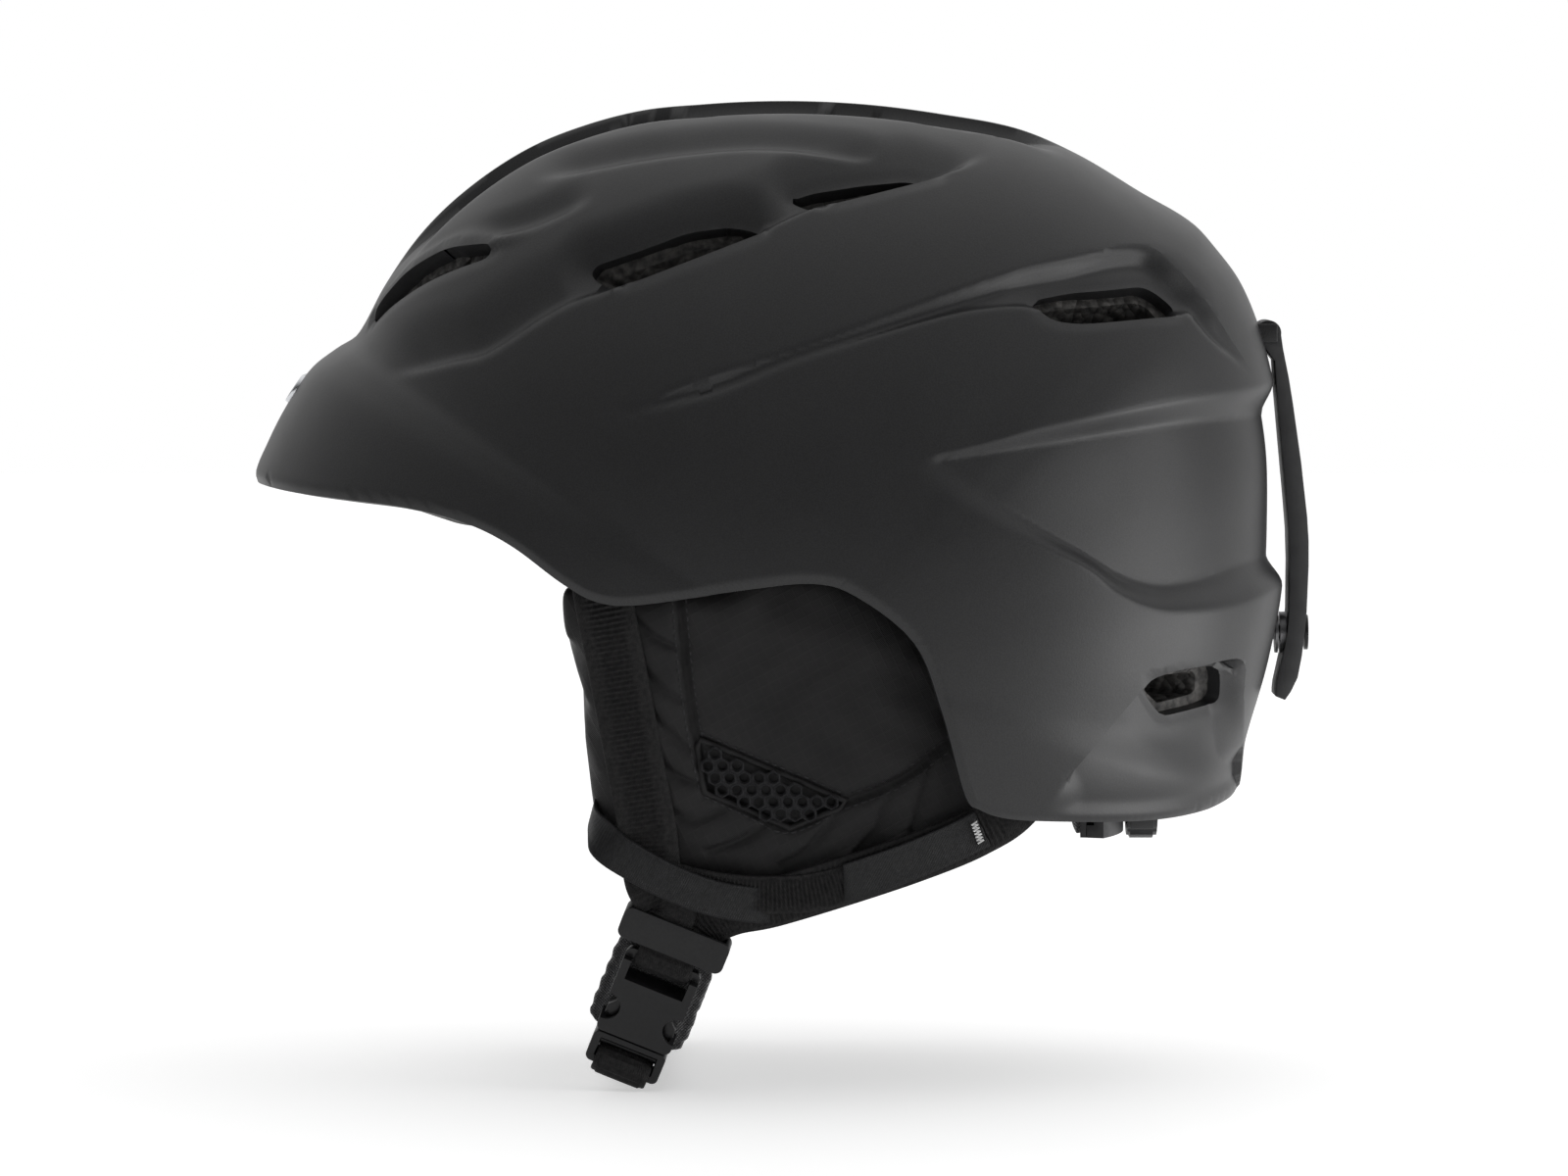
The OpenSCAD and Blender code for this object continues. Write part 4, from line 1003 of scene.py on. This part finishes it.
def make_comfort_pads():
    cloth = brushed_knit("comfort_fabric", (0.02, 0.02, 0.022), (0.05, 0.05, 0.054))
    pads = [("brow_cushion", partial(on_ring, a=(122, 238), z=(30, 56)), 90, 22, 5, "brow_pad", False),
            ("rear_cushions", partial(on_ring, a=(22, 58), z=(14, 44)), 30, 22, 1, "rear_pad", True),
            ("crown_cushion", partial(on_cap, a=(40, 142), b=(-15, 15)), 90, 26, 4, "crown_pad", False),
            ("side_cushions", partial(on_cap, a=(48, 130), b=(22, 44)), 70, 22, 3, "side_pads", True)]
    for name, at, rows, cols, channel_count, node, mirror in pads:
        patch(name, at, rows, cols, channel_count, "helmet", cloth, node, mirror)


# ---------------------------------------------------------------- ear pads

EAR_X = 96.0                  # where the ear pad's outer plane crosses the middle height
EAR_LEAN = math.radians(12.5)
EAR_WALL = 17.0
EAR_OUT = np.array([math.cos(EAR_LEAN), 0, -math.sin(EAR_LEAN)])
EAR_UP = np.array([math.sin(EAR_LEAN), 0, math.cos(EAR_LEAN)])
# Lines of the ear pad, as (y, z) in its own leaning plane.
EAR_OUTLINE = catmull([
    (-68, 4), (-67, -10), (-63.5, -27.5), (-61.5, -46.3), (-57.5, -66), (-48, -76), (-36.5, -80),
    (-17.7, -83.5), (11.8, -79.5), (33, -69.5), (44.5, -63.5), (46, -50), (39, -26.5), (31, -8), (14, 5),
    (0.7, 9), (-18.8, 7.4), (-46, 3.4), (-57, 3.6), (-68, 4)], 3)[:-1]
MESH_WINDOW = np.array([(-30, -39), (-28.2, -52.5), (-5.2, -62.6), (9.2, -56.4)])
FRONT_SEAM = catmull([(-35.7, 2), (-33.8, -20), (-31, -39.5), (-28.2, -52.5)])
TOP_SEAM = catmull([(-30.7, -37.2), (-12.4, -45.7), (9.2, -55)])
LOW_SEAM = catmull([(9.2, -56), (22.6, -50.7), (36.1, -41.4), (41, -38)])
WINDOW_SEAM = catmull([(-28.2, -52.5), (-16, -58.5), (-5.2, -62.8), (9.2, -56)])
FOLDS = [catmull(p) for p in (
    [(-48, -4), (-42, -9), (-35, -12)], [(-47, -17), (-41, -23), (-34.5, -27)],
    [(-45, -29), (-39, -36), (-32.5, -41)],
    [(-44, -42), (-37, -48), (-29.5, -51)], [(-41, -57), (-33, -61), (-24, -58)],
    [(-28, -70), (-19, -67), (-12, -62)], [(-8, -74), (0, -69), (7, -60)], [(12, -71), (18, -64), (22, -53)],
    [(28, -64), (31, -56), (34, -45)])]
SEAM_DEPTH, FOLD_DEPTH, CREASE_HALF = 2.8, 1.8, 1.0
WINDOW_DEPTH = 1.6            # how far the mesh window is pressed in
CRUMPLE = 0.35                # height of the soft waves in the fabric


def on_ear(flat, d):
    """Points of the ear pad's plane, as (y, z), lifted d millimetres outwards."""
    flat = np.asarray(flat, float)
    return (np.array([EAR_X, 0, 0]) + flat[:, :1] * [0, 1, 0] + flat[:, 1:2] * EAR_UP
            + np.reshape(d, (-1, 1)) * EAR_OUT)


def off_ear(y, z, d):
    return tuple(on_ear([(y, z)], d)[0])


def ear_flat(points):
    """Inverse of on_ear: (y, z) and height."""
    rel = points - [EAR_X, 0, 0]
    return np.stack([rel[:, 1], rel @ EAR_UP], 1), rel @ EAR_OUT


def shrink(outline, by):
    """An outline drawn in by a distance, by moving each point along its inward normal."""
    p = np.asarray(outline, float)
    ahead = unit(np.roll(p, -1, 0) - np.roll(p, 1, 0))
    inward = np.stack([-ahead[:, 1], ahead[:, 0]], 1)
    area = 0.5 * np.sum(p[:, 0] * np.roll(p[:, 1], -1) - np.roll(p[:, 0], -1) * p[:, 1])
    return p + inward * by * (1 if area > 0 else -1)


def prism(name, bottom, top):
    """A closed solid between two outlines that have as many points."""
    count = len(bottom)
    faces = [tuple(range(count)), tuple(reversed(range(count, 2 * count)))]
    faces += [(i, (i + 1) % count, count + (i + 1) % count, count + i) for i in range(count)]
    obj = new_object(name, np.vstack([bottom, top]), faces)
    tidy_normals(obj)
    return obj


def groove(flat, line, depth, half):
    """Depth of a sewn line pressed into padding."""
    gap = to_line(flat, line)[0]
    return depth * (0.65 * np.exp(-(gap / half) ** 2) + 0.35 * np.exp(-(gap / (3.2 * half)) ** 2))


def shape_ear_face(points, normals):
    """Sewn lines, folds and the mesh window pressed into the ear pad's outer face."""
    flat, height = ear_flat(points)
    faces_out = smooth((normals @ EAR_OUT - 0.1) / 0.5) * (height > -9)
    press = np.zeros(len(points))
    lines = [(seam, SEAM_DEPTH) for seam in (FRONT_SEAM, TOP_SEAM, LOW_SEAM, WINDOW_SEAM)]
    for line, depth in lines + [(fold, FOLD_DEPTH) for fold in FOLDS]:
        press = np.maximum(press, groove(flat, line, depth, CREASE_HALF))
    press += WINDOW_DEPTH * smooth(in_polygon(flat, MESH_WINDOW) / 1.5 + 0.5)
    y, z = flat.T
    wave = CRUMPLE * np.sin(y * 0.31 + 1.3 * np.sin(z * 0.17)) * np.sin(z * 0.23 + 0.6)
    return points - ((press - wave) * faces_out)[:, None] * EAR_OUT


def both_sides(obj):
    """A mirrored copy of a piece for the wearer's right."""
    mesh = obj.data.copy()
    twin = bpy.data.objects.new(obj.name.replace("_left", "_right"), mesh)
    scene.collection.objects.link(twin)
    set_points(twin, mirror_x(points_of(obj)))
    twin.data.flip_normals()
    return twin


def make_ear_pad():
    """The ear cushion, and a finder for its face as it was before the lines were pressed in."""
    outline = shrink(EAR_OUTLINE, -0.6)
    pad = prism("ear_cushion_left", on_ear(outline, 1.4 - EAR_WALL), on_ear(outline, -1.6))
    remesh(pad, 4.2)
    inflate(pad, cap=3.0)
    subdivide(pad, 2)
    unpressed = surface_finder(pad)
    set_points(pad, shape_ear_face(points_of(pad), normals_of(pad)))
    return pad, unpressed


def hexagons(low, high, pitch):
    """Centres of hexagons of one pitch between two corners."""
    z, odd = low[1], False
    while z < high[1] + pitch:
        y = low[0] + odd * pitch / 2
        while y < high[0] + pitch:
            yield np.array([y, z])
            y += pitch
        z += pitch * math.sqrt(3) / 2
        odd = not odd


def honeycomb(drop, pitch=4.0, hole=1.35, steps=12, sunk=0.5):
    """Open mesh fabric, a little below the pad's face: one ring of thread for each hole."""
    flat, lifts, faces = [], [], []
    for centre in hexagons(MESH_WINDOW.min(0), MESH_WINDOW.max(0), pitch):
        if in_polygon(centre[None], MESH_WINDOW)[0] < 0.4:
            continue
        first = len(flat)
        for k in range(steps):
            turn = 2 * math.pi * k / steps
            corner = (turn - math.pi / 6) % (math.pi / 3) - math.pi / 6
            reach = pitch / 2 / math.cos(corner)
            for radius, lift in ((reach, 0.1), ((reach + hole) / 2, 0.45), (hole, 0.0), (hole, -0.8)):
                flat.append(centre + np.array([math.cos(turn), math.sin(turn)]) * radius)
                lifts.append(lift - sunk)
            a, b = first + 4 * k, first + 4 * ((k + 1) % steps)
            faces += [(a + i, b + i, b + i + 1, a + i + 1) for i in range(3)]
    points = drop(flat, 0) + np.outer(lifts, EAR_OUT)
    fabric = new_object("ear_mesh_left_fabric", points, faces, 50)
    edit_mesh(fabric.data, partial(join_points, within=0.05))
    return fabric


def swept(count, around, closed=False):
    """Faces of a section of around points swept through count places, with flat ends unless it is closed."""
    faces = []
    for i in range(count if closed else count - 1):
        a, b = i * around, ((i + 1) % count) * around
        faces += [(a + k, a + (k + 1) % around, b + (k + 1) % around, b + k) for k in range(around)]
    if not closed:
        faces += [tuple(reversed(range(around))), tuple(range((count - 1) * around, count * around))]
    return faces


def tube(line, radius, sides=8, closed=False):
    """Points and faces of a tube along a line of 3-D points."""
    line = np.asarray(line, float)
    along = np.roll(line, -1, 0) - np.roll(line, 1, 0) if closed else np.gradient(line, axis=0)
    along = unit(along)
    out = unit(np.cross(along, EAR_OUT))
    up = np.cross(out, along)
    turns = 2 * np.pi * np.arange(sides) / sides
    across = np.cos(turns)[:, None] * out[:, None] + np.sin(turns)[:, None] * up[:, None]
    return (line[:, None] + radius * across).reshape(-1, 3), swept(len(line), sides, closed)


def threads(name, lines, radius):
    """A piece made of many short threads."""
    points, faces = [], []
    for line in lines:
        more, quads = tube(line, radius, 6)
        first = len(points)
        points += more.tolist()
        faces += [tuple(first + k for k in face) for face in quads]
    return new_object(name, points, faces, 60)


def surface_finder(obj):
    """A function that drops points of the ear pad's plane onto the piece's outer face."""
    tree = BVHTree.FromObject(obj, bpy.context.evaluated_depsgraph_get())

    def drop(flat, lift):
        found = []
        for start in on_ear(flat, 25.0):
            hit = tree.ray_cast(Vector(start * MM), Vector(-EAR_OUT))[0]
            if hit is not None:
                found.append(np.array(hit) / MM + lift * EAR_OUT)
        return np.array(found)

    return drop


def sewing(name, seams, drop, pitch=2.4, share=0.62):
    """Rows of stitches: a short length of thread for each."""
    stitches = []
    for seam in seams:
        run = run_of(seam)
        samples = resample(seam, run, np.arange(0, run[-1], pitch))
        for here, there in zip(samples[:-1], samples[1:]):
            placed = drop([here + (there - here) * share * t for t in (0, 0.25, 0.75, 1)], 0.1)
            if len(placed) == 4:
                placed[[0, 3]] -= 0.3 * EAR_OUT
                stitches.append(placed)
    return threads(name, stitches, 0.22)


def beside_line(line, by):
    ahead = unit(np.gradient(line, axis=0))
    return line + np.stack([-ahead[:, 1], ahead[:, 0]], 1) * by


def finish_pair(obj, slot, material, node=None):
    """Finishes a left piece and its mirrored copy. They replace the node of that name on each side."""
    pair = {"left": obj, "right": both_sides(obj)}
    for side, piece in pair.items():
        finish_piece(piece, "helmet", slot, material, *([f"{node}_{side}"] if node else []))
    return pair.values()


def make_ears():
    cloth = ripstop()
    mesh_cloth = webbing_cloth("mesh_cloth", (0.012, 0.012, 0.013), (0.03, 0.03, 0.032))
    fleece = brushed_knit("fleece", (0.022, 0.022, 0.024), (0.06, 0.06, 0.064), 1.6)
    thread = webbing_cloth("thread", (0.016, 0.016, 0.017), (0.045, 0.045, 0.047))
    pad, unpressed = make_ear_pad()
    drop = surface_finder(pad)
    rows = [beside_line(line, by) for line, by in (
        (FRONT_SEAM, -1.9), (FRONT_SEAM, 1.9), (TOP_SEAM, 1.8), (LOW_SEAM, 1.8), (WINDOW_SEAM, -1.8),
        (LOW_SEAM, -1.8))]
    stitches = sewing("ear_stitches_left", rows, drop)
    fabric = honeycomb(unpressed)
    shares = np.arange(10)[:, None] / 10
    sides = [a + (b - a) * shares for a, b in zip(MESH_WINDOW, np.roll(MESH_WINDOW, -1, 0))]
    ring = drop(shrink(np.vstack(sides), -0.9), 0.2)
    piping = new_object("ear_piping_left", *tube(ring, 1.1, 10, closed=True), 60)
    inner = shrink(EAR_OUTLINE, 6)
    lining = prism("ear_fleece_left", on_ear(inner, -EAR_WALL - 2.0), on_ear(inner, -EAR_WALL - 0.2))
    remesh(lining, 3.0)
    subdivide(lining, 1)
    pads = [*finish_pair(pad, "ear_fabric", cloth, "ear_pad")]
    finish_pair(stitches, "ear_fabric", thread)
    finish_pair(fabric, "ear_mesh", mesh_cloth, "ear_mesh")
    finish_pair(piping, "ear_fabric", cloth)
    pads += finish_pair(lining, "fleece", fleece, "ear_lining")


# ---------------------------------------------------------------- webbing

FRONT_ANCHOR = np.array([90.6, -57, 20])
REAR_ANCHOR = np.array([78, 72.5, -31])
STRAP_WIDTH = 16.0
STRAP_WALL = 1.4
BUCKLE_TILT = math.radians(21.9)
BUCKLE_LEAN = math.radians(19.3)
BUCKLE_SEAT = np.array([64.4, -48.9, -121.8])
BUCKLE_UP = np.array([math.sin(BUCKLE_LEAN), math.cos(BUCKLE_LEAN) * math.sin(BUCKLE_TILT),
                      math.cos(BUCKLE_LEAN) * math.cos(BUCKLE_TILT)])
BUCKLE_BACK = np.array([0, math.cos(BUCKLE_TILT), -math.sin(BUCKLE_TILT)])
BUCKLE_OUT = np.cross(BUCKLE_BACK, BUCKLE_UP)


def in_buckle(x, y, z):
    return BUCKLE_SEAT + x * BUCKLE_BACK + y * BUCKLE_UP + z * BUCKLE_OUT


FRONT_PATH = [
    FRONT_ANCHOR + [-0.2, 0, 4], FRONT_ANCHOR + [0.5, 0, -2], FRONT_ANCHOR + [2.6, 0, -8], (96.4, -57, 6.2),
    off_ear(-54.8, -6, 1.9), off_ear(-52.2, -20, 1.7), off_ear(-48, -44, 1.7), off_ear(-44.5, -64, 1.7),
    off_ear(-43, -78, 1.8), in_buckle(-5, 41.5, 1), in_buckle(-4.8, 36, 0.9)]
FRONT_OUT = [(1, 0, 0.1), (1, 0, 0.15), (1, 0, 0.45), (1, 0, 0.35)] + [EAR_OUT] * 5 + [BUCKLE_OUT] * 2
REAR_PATH = [
    REAR_ANCHOR, REAR_ANCHOR + [0.4, -4, -6.8], (82, 57.5, -55), off_ear(46, -64, 1.9),
    off_ear(30, -70.5, 3.4), off_ear(10, -77.5, 3.6), off_ear(-10, -84, 3), in_buckle(12, 47, 0),
    in_buckle(6.5, 40.5, -0.9), in_buckle(5, 36.4, -0.9)]
REAR_OUT = [(1, 0, 0), (1, 0, 0), (1, 0, -0.15)] + [EAR_OUT] * 4 + [BUCKLE_OUT] * 3
# Bands along the ear pad's lower edge, as (y, z, height) over its plane.
WRAP_LINE = [(-58.6, -58, -10), (-59.8, -62, -3.5), (-56, -67, 2.6), (-49, -71.6, 4.6), (-38, -77.6, 5.2),
             (-26, -82.2, 5), (-14, -84.4, 4), (-7, -84.6, 2.4)]
EDGE_BAND = [(-42, -76.5, 2.6), (-32, -79.4, 3.2), (-17.7, -81.4, 3.6), (-1.6, -80.9, 4.2), (12, -77.6, 4.6),
             (24, -73, 4.6), (32, -69.4, 4.2)]
LABEL_LINE = [(47.5, -62.4, 3.3), (39, -66.4, 4.9), (26, -71.8, 5.8), (12, -76.8, 5.8), (9.5, -77.4, 5.5)]


def tape(name, path, out, width, wall, rib, pitch=1.5):
    """A flat strap along a path, with woven ribs across it, pitch apart and rib high."""
    path, out = catmull(path, 24), catmull(out, 24)
    run = run_of(path)
    at = np.linspace(0, run[-1], int(round(run[-1] / (pitch / 2))) + 1)
    path, out = resample(path, run, at), resample(out, run, at)
    ahead = unit(np.gradient(path, axis=0))
    side = unit(np.cross(out, ahead))
    up = np.cross(ahead, side)
    ribs = np.where(np.arange(len(path)) % 2 == 0, rib, 0.0)
    # Half of the section, as shares of the width and thickness; the outer threads are a little thicker.
    edge = [(-0.5, 0.0), (-0.495, 0.32), (-0.47, 0.5), (-0.42, 0.55), (-0.39, 0.44), (-0.2, 0.47)]
    half = edge + [(0, 0.47)] + [(-s, t) for s, t in edge[:0:-1]]
    section = half + [(-s, -t) for s, t in half]
    rows = []
    for s, t in section:
        raised = ribs * np.sign(t) * (abs(s) < 0.4)
        rows.append(path + side * (s * width) + up * (t * wall + raised)[:, None])
    points = np.stack(rows, 1).reshape(-1, 3)
    obj = new_object(name, points, swept(len(path), len(section)), 60)
    tidy_normals(obj)
    return obj


RIB = 0.5
FRONT_TURN = EAR_OUT * 0.4 + [0, -1, 0]     # the way that the band's front end faces


def along_ear(name, line, width, wall, rib, turned=0):
    """A tape over the ear pad, whose first turned points face round its front edge."""
    out = [FRONT_TURN] * turned + [EAR_OUT] * (len(line) - turned)
    return tape(name, [off_ear(*p) for p in line], out, width, wall, rib, 1.2)


def make_straps():
    nylon = webbing_cloth("webbing", (0.007, 0.007, 0.0075), (0.022, 0.021, 0.021))
    satin = webbing_cloth("satin_tape", (0.006, 0.006, 0.0066), (0.015, 0.015, 0.016), 0.42)
    front = tape("front_webbing_left", FRONT_PATH, FRONT_OUT, STRAP_WIDTH, STRAP_WALL, RIB)
    rear = tape("rear_webbing_left", REAR_PATH, REAR_OUT, STRAP_WIDTH - 2, STRAP_WALL, RIB)
    edge = along_ear("edge_band_left", EDGE_BAND, 11, 1.0, RIB)
    wrap = along_ear("wrap_band_left", WRAP_LINE, 10.5, 0.9, 0.04, turned=2)
    label = along_ear("label_left", LABEL_LINE, 11, 0.7, 0.03)
    pieces = [(front, nylon, "front_strap"), (rear, nylon, "rear_strap"), (edge, nylon, "ear_band"),
              (wrap, satin, "ear_band"), (label, satin, "strap_label")]
    for obj, cloth, node in pieces:
        finish_pair(obj, "webbing" if cloth is nylon else "smooth_band", cloth, node)
    make_bar_tack()
    make_socket_loop(nylon)
    make_chin_strap(nylon)


def make_bar_tack(turns=13):
    """A plain pale bar of zigzag stitches across the end of the label."""
    thread = webbing_cloth("pale_thread", (0.55, 0.55, 0.55), (0.8, 0.8, 0.8))
    start, end = np.array([45.2, -60.4, 4.5]), np.array([47.2, -66.2, 4.4])
    swing = np.array([0.9, 0.3, 0])
    zigzag = [start + (end - start) * i / turns + swing * (-1) ** i for i in range(turns + 1)]
    stitches = [[off_ear(*(a + (b - a) * t)) for t in (0, 0.5, 1)] for a, b in zip(zigzag[:-1], zigzag[1:])]
    finish_pair(threads("bar_tack_left", stitches, 0.24), "webbing", thread)


# The chin strap's way from the right divider to the buckle, and the way that its face looks.
CHIN_PATH = [(-71.6, -43.6, -103), (-64, -46.6, -116), (-52, -49.4, -124.6), (-28, -51.4, -128.4),
             (0, -52, -129.2), (26, -52, -128.9), (42, -51.6, -128.3)]
CHIN_OUT = [(-0.9, 0, -0.45), (-0.35, 0, -1), (-0.1, 0, -1), (0, 0, -1), (0.05, 0, -1), (0.15, 0, -1),
            (0.15, -0.2, -1)]
# The same for its turn round the plug's bar, up and out in the buckle's frame.
BAR_PATH = [(-10.6, -7.2), (-7.2, -5.0), (-5.6, -2.5), (-5.3, 1.5), (-6.6, 4.3), (-8.9, 4.9), (-11.2, 3.6),
            (-12.2, 0.8)]
BAR_OUT = [(-0.7, -0.7), (1, 0.3), (0.9, 0.3), (0.6, 1), (0, 1), (-0.7, 1), (-1, 0.3)]
# And the loop on the socket's bar: its straight part, and the height and radius of its turn.
LOOP_SIDE = [(32.2, 1.15), (28.6, 1.2), (26.6, 2.2)]
LOOP_HEIGHT, LOOP_RADIUS = 24.7, 2.7


def make_socket_loop(nylon):
    turn = [(LOOP_HEIGHT - LOOP_RADIUS * math.sin(a), LOOP_RADIUS * math.cos(a))
            for a in np.radians(range(0, 181, 30))]
    line = LOOP_SIDE + turn + [(up, -out) for up, out in reversed(LOOP_SIDE)]
    path = [in_buckle(0, up, out) for up, out in line]
    centre = in_buckle(0, LOOP_HEIGHT, 0)
    ends = len(LOOP_SIDE)
    out = [BUCKLE_OUT] * ends + [p - centre for p in path[ends:-ends]] + [-BUCKLE_OUT] * ends
    loop = tape("socket_webbing", path, unit(np.array(out)), STRAP_WIDTH, STRAP_WALL, RIB)
    finish_piece(loop, "helmet", "webbing", nylon, "buckle_strap")


def make_chin_strap(nylon):
    """The strap from the right divider round the plug's bar."""
    start, start_out = mirror_x([in_buckle(0, 31, 0), BUCKLE_OUT])
    path = [start] + CHIN_PATH + [in_buckle(0, up, out) for up, out in BAR_PATH]
    out = [start_out] * 2 + CHIN_OUT + [BUCKLE_UP * up + BUCKLE_OUT * out for up, out in BAR_OUT]
    strap = tape("chin_strap", path, out, STRAP_WIDTH, STRAP_WALL, RIB)
    strap.data.materials.append(nylon)
    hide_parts("chin_webbing")
    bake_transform(strap)


def in_buckle_flat(points):
    rel = points - BUCKLE_SEAT
    return np.stack([rel @ BUCKLE_BACK, rel @ BUCKLE_UP, rel @ BUCKLE_OUT], 1)


CHIN_PAD = [(-14.6, -3.6), (14.6, -3.6), (14.6, 26.8), (-14.6, 26.8)]
CHIN_PAD_FACES = (-9.2, -5.8)
BINDING, BINDING_DEPTH = 2.6, 0.7     # the sewn line's distance from the pad's edge, and its depth


def make_chin_pad():
    """The padded tongue behind the buckle, with a bound edge."""
    outline = rounded_outline(CHIN_PAD, 6, 8)
    pad = prism("chin_cushion", *([in_buckle(x, y, z) for x, y in outline] for z in CHIN_PAD_FACES))
    remesh(pad, 1.7)
    inflate(pad, cap=0.7)
    subdivide(pad, 1)
    placed = points_of(pad)
    flat = in_buckle_flat(placed)
    edge = shrink(outline, BINDING)
    gap = to_line(flat[:, :2], np.vstack([edge, edge[:1]]))[0]
    press = BINDING_DEPTH * np.exp(-(gap / 0.8) ** 2) * np.sign(flat[:, 2] - np.mean(CHIN_PAD_FACES))
    set_points(pad, placed - press[:, None] * BUCKLE_OUT)
    cloth = brushed_knit("chin_fabric", (0.013, 0.013, 0.014), (0.03, 0.03, 0.032))
    finish_piece(pad, "buckle_plug", "chin_fabric", cloth, "chin_pad")


# ---------------------------------------------------------------- plastic, metal and rubber pieces

def make_hardware():
    gloss = moulded("gloss_plastic", (0.006, 0.006, 0.0065), 0.3)
    matte = moulded("matte_plastic", (0.008, 0.008, 0.0085), 0.45, 0.05)
    grey = moulded("grey_plastic", (0.02, 0.02, 0.021), 0.46, 0.05)
    steel = metal("steel", (0.18, 0.18, 0.185), 0.35)
    dark = rubber()
    badge = metal("badge", (0.62, 0.63, 0.65), 0.25)
    rounded_pieces = [
        ("buckle_socket", "socket", "helmet", "buckle_plastic", gloss, 0.7),
        ("buckle_plug", "plug", "buckle_plug", "buckle_plastic", gloss, 0.5),
        ("buckle_arm_front", "arm_front", "buckle_arm_front", "buckle_plastic", gloss, 0.3),
        ("buckle_arm_rear", "arm_rear", "buckle_arm_rear", "buckle_plastic", gloss, 0.3),
        ("strap_divider_left", "divider_left", "helmet", "buckle_plastic", matte, 0.7),
        ("strap_divider_right", "divider_right", "helmet", "buckle_plastic", matte, 0.7),
        ("retainer_strap", "retainer", "retainer", "retainer_rubber", dark, 0.7),
        ("retainer_anchor", "retainer_bracket", "helmet", "anchor_plastic", matte, 0.3),
        ("front_badge", "badge", "helmet", "badge", badge, 0.35),
        ("vent_button", "vent_slider", "vent_control", "vent_plastic", matte, 0.3),
        ("dial_knob", "knob", "fit_dial", "dial_plastic", matte, 0.4),
        ("fit_housing", "dial_housing", "fit_cradle", "fit_plastic", grey, 0.4),
        ("fit_cover", "dial_cover", "fit_cradle", "fit_plastic", grey, 0.3),
        ("height_stem", "stem", "fit_cradle", "fit_plastic", grey, 0.4)]
    for node, name, body, slot, material, width in rounded_pieces:
        softened(node, name, body, slot, material, width)
    kept = {
        steel: ("snap_socket", "snap_stud", "dial_screw", "fit_screws"),
        gloss: ("snap_cap",),
        matte: ("front_strap_anchors", "rear_strap_anchors", "ear_clips", "vent_shutter"),
        grey: ("height_guide", "guide_pins", "dial_pinion", "fit_band_left", "fit_band_right")}
    for material, nodes in kept.items():
        for node in nodes:
            repaint(node, material)
    repaint("hook_patches", brushed_knit("hook_tape", (0.02, 0.02, 0.02), (0.05, 0.05, 0.05), 0.7))


def repaint(node, material):
    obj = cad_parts[node]
    obj.data.materials.clear()
    obj.data.materials.append(material)


# ---------------------------------------------------------------- fit pads

BAND_Y = 10.0
DIAL_Z = -55.0


def on_arc(u, v, t, bearing, z, seat, wall):
    """A patch on a wall round the fit bands' axis, rising inwards from its seat radius."""
    p = np.radians(bearing[0] + (bearing[1] - bearing[0]) * u)
    radius = seat - wall * t
    return np.stack([radius * np.sin(p), BAND_Y + radius * np.cos(p), DIAL_Z + z[0] + (z[1] - z[0]) * v], 1)


def make_fit_pads():
    cloth = brushed_knit("nape_fabric", (0.02, 0.02, 0.022), (0.05, 0.05, 0.054))
    nape = partial(on_arc, bearing=(-22, 22), z=(-13, 13), seat=71.4, wall=4.8)
    patch("nape_cushion", nape, 60, 26, 2, "fit_cradle", cloth, "nape_pad")
    for side, turn, z in (("left", 1, (-5, 9)), ("right", -1, (-9, 5))):
        at = partial(on_arc, bearing=(38 * turn, 53 * turn), z=z, seat=75.0, wall=3.0)
        patch(f"band_cushion_{side}", at, 28, 18, 0, f"band_{side}", cloth, f"band_pad_{side}")


scene.view_settings.view_transform = "Standard"
add_camera()
add_floor()
add_world(0.05, 1.1)
add_softbox("rear", (0.9, 2.4, 0.3), (0, 0.05, -0.03), (1.6, 0.7), 13)
add_softbox("low", (0.14, 0.42, -0.12), (0.08, 0.1, -0.04), (0.3, 0.16), 0.7)
make_shell()
make_foam()
make_comfort_pads()
make_ears()
make_straps()
make_chin_pad()
make_hardware()
make_fit_pads()
